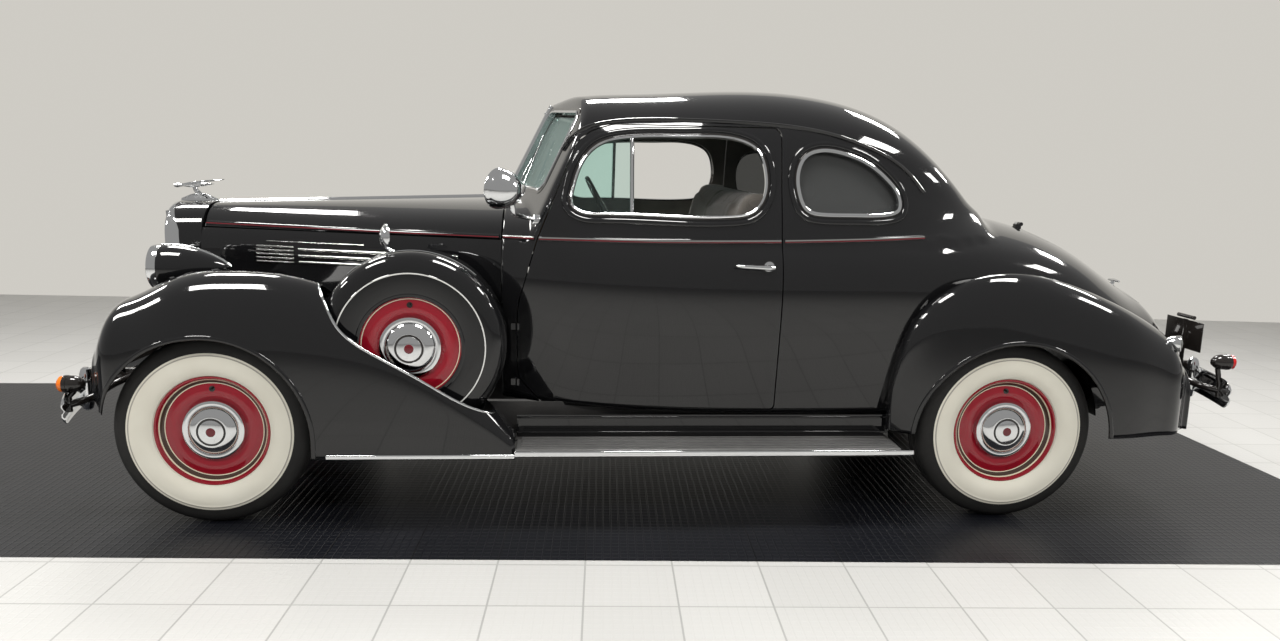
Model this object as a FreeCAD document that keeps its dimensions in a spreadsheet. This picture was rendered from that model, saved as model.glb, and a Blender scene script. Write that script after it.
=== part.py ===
# Two-door coupe car of the late 1930s with side-mounted spare wheels.
# Millimetres. +X points rearward, +Y to the car's right-hand side, +Z up.
# The origin is on the ground, midway between the bumper faces, on the centre plane.
import FreeCAD, Part
import math
import os
import re
import Sketcher
from FreeCAD import Placement, Rotation, Vector
from types import SimpleNamespace

# Driving dimensions, in groups by piece
driving_sizes = {
    # Whole car
    "wheelbase": 3226.0,
    "frontOverhang": 700.0,
    "rearOverhang": 1144.0,
    "panelGap": 8.0,
    "hoodGap": 12.0,
    "seatGap": 0.3,
    "sheetThickness": 6.0,
    "cutOverrun": 400.0,
    # Wheels and tyres
    "tyreRadius": 378.0,
    "tyreHalfWidth": 93.0,
    "treadHalfWidth": 58.0,
    "rimRadius": 222.0,
    "rimHalfWidth": 68.0,
    "rimWellRadius": 188.0,
    "drumRadius": 152.0,
    "drumDepth": 66.0,
    "hubBore": 20.0,
    "hubNose": 44.0,
    "discOffset": 24.0,
    "spindleClearance": 0.08,
    "frontTrack": 1499.0,
    "rearTrack": 1524.0,
    "hubcapRadius": 121.0,
    "hubcapDepth": 58.0,
    # Body shell
    "bodyLength": 3182.0,
    "cowlSetback": 1118.0,
    "bodyBottom": 430.0,
    "tubHeight": 860.0,
    "bodyHalfWidth": 797.0,
    "beltHeight": 1137.0,
    "cabinHeight": 646.0,
    "cabinHalfWidth": 771.0,
    "cabinStart": 1000.0,
    "cabinLength": 2340.0,
    "wallThickness": 48.0,
    "roofThickness": 32.0,
    "screenBaseSetback": 1109.0,
    "screenBaseHeight": 1307.0,
    "screenRun": 208.0,
    "screenRise": 410.0,
    "screenSweep": 181.0,
    "screenSweepWidth": 600.0,
    "glassThickness": 6.0,
    "roofSeamHeight": 1560.0,
    "quarterSeamSetback": 2935.0,
    "deckSeamOut": 430.0,
    # Doors
    "doorSetback": 1180.0,
    "doorLength": 1072.0,
    "doorBottom": 446.0,
    "doorHeight": 1163.0,
    "doorDepth": 520.0,
    "hingeOutset": 10.0,
    "hingeRadius": 9.0,
    # Side windows
    "sideWindowSill": 1252.0,
    "doorWindowStart": 1392.0,
    "doorWindowLength": 798.0,
    "doorWindowHeight": 312.0,
    "ventDivider": 1640.0,
    "quarterStart": 2316.0,
    "quarterLength": 446.0,
    "quarterHeight": 262.0,
    # Rear window and luggage lid
    "rearWindowWidth": 320.0,
    "rearWindowHeight": 190.0,
    "rearWindowMiddle": 1500.0,
    "rearWindowBar": 44.0,
    "doorHandleHeight": 1055.0,
    "doorHandleInset": 44.0,
    "doorHandleLength": 158.0,
    "lidSetback": 3500.0,
    "lidLength": 650.0,
    "lidHalfWidth": 385.0,
    # Radiator shell and hood
    "shellSetback": -420.0,
    "shellDepth": 214.0,
    "shellHalfWidth": 262.0,
    "shellTop": 1232.0,
    "shellBottom": 560.0,
    "grilleBarRadius": 5.0,
    "grilleInset": 34.0,
    "hoodTopRear": 1283.0,
    "hoodSideTop": 1132.0,
    "hoodSideBottom": 868.0,
    "hoodPanelThickness": 8.0,
    "hoodHingeRadius": 7.0,
    "louvreHeight": 16.0,
    "louvreDepth": 10.0,
    "louvrePitch": 27.0,
    # Front fenders
    "fenderFront": -456.0,
    "fenderLength": 1640.0,
    "fenderBottom": 292.0,
    "fenderHeight": 712.0,
    "fenderHalfWidth": 925.0,
    "frontFenderFoot": 436.0,
    "apronHeight": 660.0,
    "apronHalfWidth": 520.0,
    "archRadius": 402.0,
    "archDrop": 18.0,
    # Rear fenders
    "rearFenderFront": 2722.0,
    "rearFenderLength": 1360.0,
    "rearFenderBottom": 372.0,
    "rearFenderHeight": 672.0,
    "rearFenderOutset": 930.0,
    "wheelhouseRadius": 428.0,
    "wheelhouseWall": 620.0,
    # Running boards
    "boardLength": 1560.0,
    "boardOuter": 940.0,
    "boardHeight": 336.0,
    "boardThickness": 34.0,
    "ribPitch": 22.0,
    "ribHeight": 3.0,
    # Side-mounted spares
    "spareSetback": 777.0,
    "spareHeight": 728.0,
    "spareRadius": 368.0,
    "spareWidth": 196.0,
    "spareOuterFace": 868.0,
    "spareOpening": 196.0,
    "spareWall": 4.0,
    "wellClearance": 0.3,
    # Lamps, mirrors and ornament
    "headlampSetback": -346.0,
    "headlampLength": 352.0,
    "headlampRadius": 91.0,
    "headlampOut": 520.0,
    "headlampHeight": 990.0,
    "lensDepth": 22.0,
    "tailLampRadius": 34.0,
    "tailLampLength": 96.0,
    "tailLampHeight": 751.0,
    "tailLampSetback": 3930.0,
    "signalRadius": 36.0,
    "signalLength": 84.0,
    "signalOut": 690.0,
    "frontSignalSetback": -606.0,
    "frontSignalHeight": 536.0,
    "rearSignalSetback": 4262.0,
    "rearSignalHeight": 648.0,
    "spotlightRadius": 74.0,
    "spotlightLength": 132.0,
    "spotlightOut": 752.0,
    "spotlightSetback": 1092.0,
    "spotlightHeight": 1338.0,
    "mirrorRadius": 48.0,
    "mirrorHeight": 1150.0,
    "mirrorThickness": 18.0,
    "ornamentLength": 196.0,
    "ornamentHeight": 96.0,
    "plateWidth": 305.0,
    "plateHeight": 152.0,
    "plateSetback": 4236.0,
    "plateInner": 300.0,
    "plateBottom": 656.0,
    # Bumpers
    "bumperHalfWidth": 800.0,
    "bumperBladeHeight": 122.0,
    "bumperBladeThickness": 16.0,
    "frontBumperHeight": 452.0,
    "rearBumperHeight": 520.0,
    "bumperSweep": 130.0,
    "guardHeight": 190.0,
    "guardWidth": 56.0,
    "guardOut": 430.0,
    "bracketThickness": 24.0,
    # Frame, axles and running gear
    "frameOut": 372.0,
    "railWidth": 56.0,
    "railHeight": 130.0,
    "jackPadLength": 80.0,
    "frontJackPadSetback": 535.0,
    "rearJackPadSetback": 2035.0,
    "railBottom": 400.0,
    "kickUp": 170.0,
    "axleTubeRadius": 38.0,
    "differentialRadius": 135.0,
    "springLength": 1320.0,
    "springWidth": 50.0,
    "springThickness": 38.0,
    "kingpinOut": 640.0,
    "kingpinRadius": 16.0,
    "kingpinHeight": 210.0,
    "armHeight": 26.0,
    "backingPlateThickness": 5.0,
    "engineLength": 960.0,
    "engineHalfWidth": 165.0,
    "engineBottom": 440.0,
    "engineHeight": 560.0,
    "engineSetback": -130.0,
    "shaftRadius": 38.0,
    "exhaustRadius": 26.0,
    "mufflerRadius": 74.0,
    "tankSetback": 300.0,
    "tankLength": 390.0,
    "tankHalfWidth": 330.0,
    "tankHeight": 150.0,
    # Cabin
    "floorHeight": 532.0,
    "floorThickness": 12.0,
    "seatHalfWidth": 640.0,
    "seatSetback": 1430.0,
    "seatDepth": 520.0,
    "seatHeight": 350.0,
    "seatBackHeight": 560.0,
    "seatBackThickness": 170.0,
    "rearSeatSetback": 2440.0,
    "rearSeatDepth": 400.0,
    "dashSetback": 1240.0,
    "dashThickness": 60.0,
    "dashHeight": 190.0,
    "steeringOut": 360.0,
    "steeringRadius": 215.0,
    "steeringGrip": 11.0,
    "steeringTilt": 28.0,
    "steeringSetback": 1566.0,
    "steeringHeight": 1199.0,
    "columnRadius": 22.0,
}

doc = FreeCAD.newDocument("CoupeCar")
sheet = doc.addObject("Spreadsheet::Sheet", "Sizes")
for row, (name, value) in enumerate(driving_sizes.items(), start=1):
    sheet.set(f"A{row}", name)
    sheet.set(f"B{row}", str(value))
    sheet.setAlias(f"B{row}", name)
doc.recompute()
size = SimpleNamespace(**{name: sheet.get(name) for name in driving_sizes})

# Places along the car, measured from the origin
front_axle = (size.frontOverhang - size.wheelbase - size.rearOverhang) / 2
rear_axle = front_axle + size.wheelbase
front_face = front_axle - size.frontOverhang
rear_face = rear_axle + size.rearOverhang
cowl_line = front_axle + size.cowlSetback
axle_height = size.tyreRadius

front_axle_text = "((frontOverhang - wheelbase - rearOverhang) / 2)"

sub_parts = []
LEFT = -1
RIGHT = 1
side_names = {LEFT: "left", RIGHT: "right"}


def bound(text):
    """Put the sheet's name before every alias in a formula."""
    return re.sub(r"[A-Za-z]\w*", lambda word: f"Sizes.{word.group()}" if word.group() in driving_sizes
                  else word.group(), text)


def keep(part, node):
    """Give an object its label and list it as a sub-part of the car."""
    part.Label = node
    sub_parts.append(part)
    return part


def shaped(node, shape):
    """A sub-part whose form Part's own functions make."""
    part = doc.addObject("Part::Feature", node)
    part.Shape = shape
    return keep(part, node)


def place(part, base, axis=(0, 0, 1), angle=0.0):
    """Bind a part's place to formulas and turn it about one axis."""
    part.Placement = Placement(Vector(0, 0, 0), Rotation(Vector(*axis), angle))
    for name, text in zip("xyz", base):
        part.setExpression(f"Placement.Base.{name}", bound(text))
    return part


def turned(name, profile):
    """Revolve a closed profile of (along, radius) formulas about the body's X axis."""
    body = doc.addObject("PartDesign::Body", name)
    sketch = body.newObject("Sketcher::SketchObject", f"{name}_profile")
    plane = [item for item in body.Origin.OriginFeatures if item.Role == "XY_Plane"][0]
    sketch.AttachmentSupport = [(plane, "")]
    sketch.MapMode = "FlatFace"
    count = len(profile)
    corners = [Vector(index, count - index, 0) for index in range(count)]
    for index in range(count):
        sketch.addGeometry(Part.LineSegment(corners[index], corners[(index + 1) % count]))
    for index in range(count):
        sketch.addConstraint(Sketcher.Constraint("Coincident", index, 2, (index + 1) % count, 1))
    for index, point in enumerate(profile):
        for kind, text in zip(("DistanceX", "DistanceY"), point):
            number = sketch.addConstraint(Sketcher.Constraint(kind, -1, 1, index, 1, 1.0))
            sketch.setExpression(f"Constraints[{number}]", bound(text))
    turn = body.newObject("PartDesign::Revolution", f"{name}_turn")
    turn.Profile = sketch
    turn.ReferenceAxis = (sketch, ["H_Axis"])
    turn.Angle = 360
    return body


def facing(part, base, side):
    """Point a turned part's axis out to one side of the car."""
    return place(part, base, (0, 0, 1), 90.0 * side)


def mirrored_pair(node, part):
    """One node with a part and its mirror image on the other side of the car."""
    twin = doc.addObject("Part::Mirroring", f"{node}_twin")
    twin.Source = part
    twin.Normal = Vector(0, 1, 0)
    pair = doc.addObject("Part::Compound", node)
    pair.Links = [part, twin]
    return keep(pair, node)


def mirror_shape(shape):
    return shape.mirror(Vector(0, 0, 0), Vector(0, 1, 0))


def on_side(shape, side):
    """Shapes are drawn for the left side; the right side is their mirror image."""
    return shape if side == LEFT else mirror_shape(shape)


def rounded_wire(points, radii):
    """A closed wire through corner points, each corner rounded with its own radius."""
    edges = []
    ends = []
    count = len(points)
    for index in range(count):
        before = points[index - 1]
        corner = points[index]
        after = points[(index + 1) % count]
        radius = radii[index]
        into = (before - corner).normalize()
        out = (after - corner).normalize()
        if radius <= 0:
            ends.append((corner, None, corner))
            continue
        half = into.getAngle(out) / 2
        reach = radius / math.tan(half)
        bisector = (into + out).normalize()
        middle = corner + bisector * (radius / math.sin(half) - radius)
        ends.append((corner + into * reach, middle, corner + out * reach))
    for index in range(count):
        start, middle, finish = ends[index]
        if middle is not None:
            edges.append(Part.Arc(start, middle, finish).toShape())
        following = ends[(index + 1) % count][0]
        edges.append(Part.LineSegment(finish, following).toShape())
    return Part.Wire(edges)


def side_prism(points, radii, inner, outer):
    """A left-side prism across the car from a side-view outline of (x, z) corners."""
    wire = rounded_wire([Vector(x, -inner, z) for x, z in points], radii)
    return Part.Face(wire).extrude(Vector(0, inner - outer, 0))


def section_wire(x, half_width, base, height, shares):
    """A closed cross-section: a smooth curve over the top and a straight sill."""
    left = [Vector(x, -half_width * across, base + height * up) for across, up in shares]
    right = [Vector(x, -point.y, point.z) for point in reversed(left[:-1])]
    curve = Part.BSplineCurve()
    curve.interpolate(left + right)
    sill = Part.LineSegment(right[-1], left[0])
    return Part.Wire([curve.toShape(), sill.toShape()])


def box(low, high):
    """A box between two corners."""
    return Part.makeBox(high[0] - low[0], high[1] - low[1], high[2] - low[2], Vector(*low))


def cylinder(radius, start, finish):
    """A round bar between two points."""
    start = Vector(*start)
    run = Vector(*finish) - start
    return Part.makeCylinder(radius, run.Length, start, run)


def fused(shapes):
    return shapes[0].multiFuse(shapes[1:]).removeSplitter()


# Body shell: a lower tub and a cabin, each a smooth loft through cross-sections
tub_section_shares = [(0.985, 0.0), (1.0, 0.40), (0.955, 0.815), (0.60, 0.965), (0.0, 1.0)]
tail_section_shares = [(0.985, 0.0), (1.0, 0.30), (0.93, 0.66), (0.60, 0.90), (0.0, 1.0)]
tub_station_shares = [
    # Along the body, half width, sill lift, height and how far the section is like the tail's
    (0.0, 0.82, 0.05, 0.945, 0.0),
    (0.073, 0.915, 0.03, 0.98, 0.0),
    (0.183, 0.982, 0.01, 1.0, 0.0),
    (0.359, 1.0, 0.0, 1.0, 0.0),
    (0.548, 0.968, 0.0, 0.985, 0.0),
    (0.695, 0.885, -0.005, 0.945, 0.15),
    (0.82, 0.785, -0.012, 0.803, 0.5),
    (0.877, 0.715, -0.015, 0.684, 0.8),
    (0.923, 0.64, -0.017, 0.591, 1.0),
    (0.949, 0.58, -0.018, 0.53, 1.0),
    (0.975, 0.50, -0.019, 0.41, 1.0),
    (0.994, 0.40, -0.02, 0.265, 1.0),
    (1.0, 0.33, -0.02, 0.172, 1.0),
]
cabin_section_shares = [(1.0, 0.0), (0.972, 0.17), (0.918, 0.42), (0.85, 0.72), (0.64, 0.93), (0.0, 1.0)]
cabin_station_shares = [
    # Along the cabin, half width and height
    (0.0, 0.80, 0.64),
    (0.128, 0.895, 0.876),
    (0.177, 0.925, 0.915),
    (0.30, 0.985, 0.945),
    (0.477, 1.0, 0.98),
    (0.62, 0.993, 0.957),
    (0.726, 0.965, 0.868),
    (0.812, 0.908, 0.703),
    (0.888, 0.815, 0.442),
    (0.94, 0.72, 0.235),
    (1.0, 0.60, 0.11),
]


def tub_solid(wall):
    """The lower body, drawn in from its skin by a wall."""
    wires = []
    for along, width, lift, height, tail in tub_station_shares:
        shares = [(near[0] + (far[0] - near[0]) * tail, near[1] + (far[1] - near[1]) * tail)
                  for near, far in zip(tub_section_shares, tail_section_shares)]
        x = cowl_line + size.bodyLength * along
        x += wall * (1 - 2 * along)
        base = size.bodyBottom + size.tubHeight * lift - wall
        wires.append(section_wire(x, size.bodyHalfWidth * width - wall, base,
                                  size.tubHeight * height, shares))
    return Part.makeLoft(wires, True, False)


def cabin_solid(wall, roof):
    """The upper body above the belt line, drawn in by its wall and roof."""
    wires = []
    for along, width, height in cabin_station_shares:
        x = front_axle + size.cabinStart + size.cabinLength * along - roof * along
        wires.append(section_wire(x, size.cabinHalfWidth * width - wall, size.beltHeight,
                                  size.cabinHeight * height - roof, cabin_section_shares))
    return Part.makeLoft(wires, True, False)


def screen_corners(inset, drop, edge):
    """Four corners of one windshield plane, from the centre line out to an edge."""
    foot = Vector(front_axle + size.screenBaseSetback + inset, 0, size.screenBaseHeight)
    up = Vector(size.screenRun, 0, size.screenRise)
    out = Vector(size.screenSweep, -size.screenSweepWidth, 0)
    low = foot - up * drop
    high = foot + up * (1 + drop)
    return [low, low + out * edge, high + out * edge, high]


def screen_cutter(inset):
    """Everything ahead of the two windshield planes."""
    halves = []
    for side in (LEFT, RIGHT):
        wire = Part.makePolygon(screen_corners(inset, 1.0, 2.0) + screen_corners(inset, 1.0, 2.0)[:1])
        halves.append(on_side(Part.Face(wire).extrude(Vector(-size.wheelbase, 0, 0)), side))
    return halves


tub_outer = tub_solid(0.0)
long_run = size.wheelbase
ahead_of_cowl = box((-long_run, -long_run, 0), (cowl_line, long_run, long_run))
cabin_outer = cabin_solid(0.0, 0.0).cut(screen_cutter(0.0) + [ahead_of_cowl])
body_outer = tub_outer.fuse(cabin_outer)
tub_inner = tub_solid(size.wallThickness)
cabin_inner = cabin_solid(size.wallThickness, size.roofThickness).cut(screen_cutter(size.wallThickness))
body_inner = tub_inner.fuse(cabin_inner)
body_hollow = body_outer.cut(body_inner)

# Door outline in shares of the door's length and height, with corner radii
door_corner_shares = [(0.0, 0.10), (0.0, 0.36), (0.075, 0.60), (0.235, 0.965), (0.36, 1.0), (1.0, 1.0),
                      (1.0, 0.0), (0.10, 0.0)]
door_radius_shares = [0.04, 0.30, 0.5, 0.13, 0.10, 0.03, 0.02, 0.06]


def door_prism(margin):
    """The door's region on the left side, drawn in by a margin."""
    length = size.doorLength - 2 * margin
    height = size.doorHeight - 2 * margin
    x0 = front_axle + size.doorSetback + margin
    z0 = size.doorBottom + margin
    points = [(x0 + length * along, z0 + height * up) for along, up in door_corner_shares]
    radii = [height * share for share in door_radius_shares]
    return side_prism(points, radii, size.doorDepth, size.doorDepth + size.cutOverrun)


def window_prism(start, length, sill, height, corner_shares, radius_shares, margin):
    """A side window's opening, drawn in by a margin."""
    points = [(front_axle + start + margin + (length - 2 * margin) * along,
               sill + margin + (height - 2 * margin) * up) for along, up in corner_shares]
    radii = [(height - 2 * margin) * share for share in radius_shares]
    return side_prism(points, radii, size.doorDepth, size.doorDepth + size.cutOverrun)


door_window_corner_shares = [(0.0, 0.0), (0.0, 0.42), (0.13, 1.0), (1.0, 1.0), (1.0, 0.0)]
door_window_radius_shares = [0.12, 0.25, 0.30, 0.30, 0.30]
quarter_corner_shares = [(0.0, 0.0), (0.0, 1.0), (0.60, 1.0), (1.0, 0.34), (1.0, 0.0)]
quarter_radius_shares = [0.26, 0.36, 0.30, 0.20, 0.12]


def door_window(margin):
    return window_prism(size.doorWindowStart, size.doorWindowLength, size.sideWindowSill,
                        size.doorWindowHeight, door_window_corner_shares, door_window_radius_shares, margin)


def quarter_window(margin):
    return window_prism(size.quarterStart, size.quarterLength, size.sideWindowSill,
                        size.quarterHeight, quarter_corner_shares, quarter_radius_shares, margin)


lid_taper_share = 0.22
lid_corner_share = 0.22
lid_lean_share = 0.46


def top_at(solid, x, y):
    """How high the top of a solid lies at one place."""
    ray = Part.LineSegment(Vector(x, y, size.wheelbase), Vector(x, y, 0)).toShape()
    return max(vertex.Z for vertex in solid.common(ray).Vertexes)


def lid_prism(margin):
    """The luggage lid's region, leaning rearward so that the lid clears its opening as it lifts."""
    low = size.rearBumperHeight
    x0 = front_axle + size.lidSetback + margin
    x1 = x0 + size.lidLength - 2 * margin
    x0 -= (top_at(tub_outer, x0, 0) - low) * lid_lean_share
    x1 -= (top_at(tub_outer, x1, 0) - low) * lid_lean_share
    half = size.lidHalfWidth - margin
    taper = size.lidHalfWidth * lid_taper_share
    corners = [Vector(x0, -half, low), Vector(x0, half, low), Vector(x1, half - taper, low), Vector(x1, taper - half, low)]
    wire = rounded_wire(corners, [size.lidHalfWidth * lid_corner_share] * 4)
    return Part.Face(wire).extrude(Vector(lid_lean_share, 0, 1) * size.beltHeight)


# Quarters, roof, cowl and tail in one shell, with the wheelhouses, doors and lid cut out
wheelhouses = [cylinder(size.wheelhouseRadius, (rear_axle, side * size.wheelhouseWall, axle_height),
                        (rear_axle, side * size.fenderHalfWidth, axle_height)) for side in (LEFT, RIGHT)]


def screen_opening(side):
    """The opening of one windshield pane, square to its plane."""
    foot, low_out, high_out, high = screen_corners(-size.wallThickness, 0.0, 1.0)
    up = high - foot
    out = low_out - foot
    corners = [foot + out * across + up * rise for across, rise in screen_corner_shares]
    wire = rounded_wire(corners, [size.screenRise * screen_radius_share] * len(corners))
    normal = out.cross(up).normalize()
    if normal.x < 0:
        normal = -normal
    return on_side(Part.Face(wire).extrude(normal * (size.wallThickness * 3)), side)


screen_corner_shares = [(0.06, 0.07), (0.86, 0.05), (0.80, 0.86), (0.06, 0.90)]
screen_radius_share = 0.12


def rear_opening(margin):
    """The divided rear window: two panes beside a centre bar."""
    panes = []
    for side in (LEFT, RIGHT):
        inner = size.rearWindowBar / 2 + margin
        outer = size.rearWindowWidth - margin
        low = size.rearWindowMiddle - size.rearWindowHeight / 2 + margin
        high = size.rearWindowMiddle + size.rearWindowHeight / 2 - margin
        x = front_axle + size.rearSeatSetback + size.rearSeatDepth
        corners = [Vector(x, side * inner, low), Vector(x, side * outer, low),
                   Vector(x, side * outer, high), Vector(x, side * inner, high)]
        radius = (size.rearWindowHeight - 2 * margin) * rear_window_radius_share
        wire = rounded_wire(corners, [radius] * 4)
        panes.append(Part.Face(wire).extrude(Vector(size.cutOverrun, 0, 0)))
    return panes


rear_window_radius_share = 0.35
both_sides = (LEFT, RIGHT)
shell = body_hollow.cut(
    wheelhouses + [on_side(door_prism(0.0), side) for side in both_sides]
    + [on_side(quarter_window(0.0), side) for side in both_sides]
    + [screen_opening(side) for side in both_sides] + rear_opening(0.0) + [lid_prism(0.0)])

# Doors, each as thick as the body wall, hung on two barrel hinges at the front edge


def skin_at(solid, x, z):
    """How far the left skin of a solid lies from the centre plane."""
    ray = Part.LineSegment(Vector(x, -size.wheelbase, z), Vector(x, 0, z)).toShape()
    return -min(vertex.Y for vertex in solid.common(ray).Vertexes)


hinge_height_shares = (0.10, 0.30)
hinge_x = front_axle + size.doorSetback + size.panelGap / 2
hinge_z = [size.doorBottom + size.doorHeight * share for share in hinge_height_shares]
hinge_out = max(skin_at(body_outer, hinge_x, z) for z in hinge_z) + size.hingeOutset
root_leaves = []
door_leaves = []
for z in hinge_z:
    reach = size.hingeRadius * 3
    pin_low = cylinder(size.hingeRadius, (hinge_x, -hinge_out, z - reach), (hinge_x, -hinge_out, z - size.seatGap))
    pin_high = cylinder(size.hingeRadius, (hinge_x, -hinge_out, z + size.seatGap), (hinge_x, -hinge_out, z + reach))
    leaf_low = box((hinge_x - reach, -hinge_out, z - reach), (hinge_x, -hinge_out + reach * 2, z - size.seatGap))
    leaf_high = box((hinge_x, -hinge_out, z + size.seatGap), (hinge_x + reach, -hinge_out + reach * 2, z + reach))
    root_leaves.append(pin_low.fuse(leaf_low).cut(body_outer))
    door_leaves.append(pin_high.fuse(leaf_high).cut(body_outer))

glass_inset = size.wallThickness / 2
bar_inset = glass_inset - size.glassThickness
bar_layer = cabin_solid(bar_inset, bar_inset).cut(cabin_solid(bar_inset + size.glassThickness * 3,
                                                              bar_inset + size.glassThickness * 3))
divider = box((front_axle + size.ventDivider, -size.fenderHalfWidth, size.sideWindowSill),
              (front_axle + size.ventDivider + size.glassThickness * 2, 0, size.sideWindowSill + size.doorWindowHeight))
vent_bar = bar_layer.common(door_window(0.0)).common(divider)
door_panel = body_hollow.common(door_prism(size.panelGap)).cut(door_window(0.0))
door_panel = max(door_panel.Solids, key=lambda solid: solid.Volume)
door = fused([door_panel, vent_bar] + door_leaves)
for side in both_sides:
    shaped(f"door_{side_names[side]}", on_side(door, side))

# Window glass: two windshield panes, vent panes in the doors, quarters and rear
screen_panes = []
for index, side in enumerate(both_sides):
    pane = screen_opening(side).common(screen_cutter(glass_inset + size.glassThickness)[index])
    screen_panes += pane.cut(screen_cutter(glass_inset)[index]).Solids


def glass_layer(depth):
    """The cabin's form drawn in by a depth, to cut curved panes from."""
    return cabin_solid(depth, depth).cut(cabin_solid(depth + size.glassThickness, depth + size.glassThickness))


pane_layer = glass_layer(glass_inset)
cabin_panes = [pane_layer.common(on_side(quarter_window(0.0), side)) for side in both_sides]
cabin_panes += [pane_layer.common(opening) for opening in rear_opening(0.0)]
shaped("fixed_glass", Part.makeCompound(screen_panes + [solid for pane in cabin_panes for solid in pane.Solids]))

vent_region = box((front_axle + size.doorWindowStart, -size.fenderHalfWidth, size.sideWindowSill),
                  (front_axle + size.ventDivider, 0, size.sideWindowSill + size.doorWindowHeight))
vent = pane_layer.common(door_window(0.0)).common(vent_region)
vent = max(vent.Solids, key=lambda solid: solid.Volume)
for side in both_sides:
    shaped(f"vent_glass_{side_names[side]}", on_side(vent, side))

# Luggage lid with two barrel hinges along its upper edge
lid_hinge_x = front_axle + size.lidSetback + size.panelGap / 2
lid_hinge_out = size.lidHalfWidth * 0.6
lid_hinge_z = top_at(body_outer, lid_hinge_x, 0.0) + size.hingeOutset
lid_panel = body_hollow.common(lid_prism(size.panelGap))
lid_panel = max(lid_panel.Solids, key=lambda solid: solid.Volume)
lid_leaves = []
tub_leaves = []
for side in both_sides:
    reach = size.hingeRadius * 3
    y = side * lid_hinge_out
    middle = y + side * size.seatGap
    outer = y + side * reach
    inner = y - side * reach
    tub_leaf = box((lid_hinge_x - reach, min(middle, outer), lid_hinge_z - reach * 2),
                   (lid_hinge_x, max(middle, outer), lid_hinge_z))
    lid_leaf = box((lid_hinge_x, min(inner, y), lid_hinge_z - reach * 2),
                   (lid_hinge_x + reach, max(inner, y), lid_hinge_z))
    tub_pin = cylinder(size.hingeRadius, (lid_hinge_x, middle, lid_hinge_z), (lid_hinge_x, outer, lid_hinge_z))
    lid_pin = cylinder(size.hingeRadius, (lid_hinge_x, inner, lid_hinge_z), (lid_hinge_x, y, lid_hinge_z))
    tub_leaves.append(tub_pin.fuse(tub_leaf).cut(body_outer))
    lid_leaves.append(lid_pin.fuse(lid_leaf).cut(body_outer))
shaped("luggage_lid", fused([lid_panel] + lid_leaves))
shaped("hinge_leaves", Part.makeCompound([on_side(leaf, side) for side in both_sides for leaf in root_leaves]
                                         + tub_leaves))

# Hood: fixed side panels with louvres, and two top halves on a centre hinge rod
hood_section_shares = [(0.995, 0.0), (0.985, 0.33), (0.957, 0.64), (0.60, 0.933), (0.0, 1.0)]
hood_front = front_axle + size.shellSetback + size.shellDepth + size.hoodGap
hood_rear = cowl_line - size.panelGap
cowl_half = size.bodyHalfWidth * tub_station_shares[0][1]


def hood_solid(wall, front, rear):
    """The hood's form from radiator shell to cowl, drawn in by its wall."""
    wires = []
    for x, half, top in ((front, size.shellHalfWidth, size.shellTop), (rear, cowl_half, size.hoodTopRear)):
        wires.append(section_wire(x, half - wall, size.hoodSideBottom - wall, top - size.hoodSideBottom,
                                  hood_section_shares))
    return Part.makeLoft(wires, True, True)


def hood_top(wall):
    return hood_solid(wall, hood_front, hood_rear)


def hood_side(wall):
    return hood_solid(wall, hood_front - size.hoodGap + size.seatGap, cowl_line - size.seatGap)


hood_sheet = hood_top(0.0).cut(hood_top(size.hoodPanelThickness))
rod_start = (hood_front - size.hoodGap + size.seatGap, 0, size.shellTop)
rod_finish = (cowl_line - size.seatGap, 0, size.hoodTopRear)
hinge_rod = cylinder(size.hoodHingeRadius, rod_start, rod_finish)
rod_clearance = cylinder(size.hoodHingeRadius + size.seatGap, rod_start, rod_finish)
shaped("hood_hinge_rod", hinge_rod)
side_band = box((-long_run, -long_run, 0), (long_run, long_run, size.hoodSideTop - size.panelGap / 2))
top_band = box((-long_run, -long_run, size.hoodSideTop + size.panelGap / 2), (long_run, 0, long_run))
for side in both_sides:
    half = hood_sheet.common(top_band).cut(rod_clearance)
    half = max(half.Solids, key=lambda solid: solid.Volume)
    shaped(f"hood_{side_names[side]}", on_side(half, side))

# Louvre bars: a short group and a long group of round-nosed strips on each side panel
louvre_group_shares = ((0.20, 0.325), (0.335, 0.86))
louvre_low_share = 0.46
louvre_rows = 3


def louvre_bars():
    """Horizontal strips that stand proud of the left side panel."""
    proud = hood_side(-size.louvreDepth)
    bars = []
    for start, finish in louvre_group_shares:
        x0 = hood_front + (hood_rear - hood_front) * start
        x1 = hood_front + (hood_rear - hood_front) * finish
        for row in range(louvre_rows):
            z = size.hoodSideBottom + (size.hoodSideTop - size.hoodSideBottom) * louvre_low_share
            z += row * size.louvrePitch
            slab = box((x0, -long_run, z), (x1, 0, z + size.louvreHeight))
            bars += proud.common(slab).cut(hood_side(0.0)).Solids
    return bars


side_panels = []
side_sheet = hood_side(0.0).cut(hood_side(size.hoodPanelThickness))
for side in both_sides:
    panel = side_sheet.common(side_band).common(box((-long_run, -long_run, 0), (long_run, 0, long_run)))
    panel = max(panel.Solids, key=lambda solid: solid.Volume)
    side_panels.append(on_side(panel, side))
shaped("hood_side_panels", Part.makeCompound(side_panels))
shaped("louvres", Part.makeCompound([on_side(bar, side) for side in both_sides for bar in louvre_bars()]))

# Radiator shell: a rounded hollow surround with an upright bar grille and the core behind it
shell_corner_shares = [(0.74, 0.0), (0.98, 0.42), (1.0, 0.70), (0.90, 0.88), (0.50, 0.985), (0.0, 1.0)]


def shell_solid(wall, front, back):
    """The radiator shell's form, drawn in by its wall."""
    wires = []
    for x in (front, back):
        wires.append(section_wire(x, size.shellHalfWidth - wall, size.shellBottom + wall,
                                  size.shellTop - size.shellBottom - 2 * wall, shell_corner_shares))
    return Part.makeLoft(wires, True, True)


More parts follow.
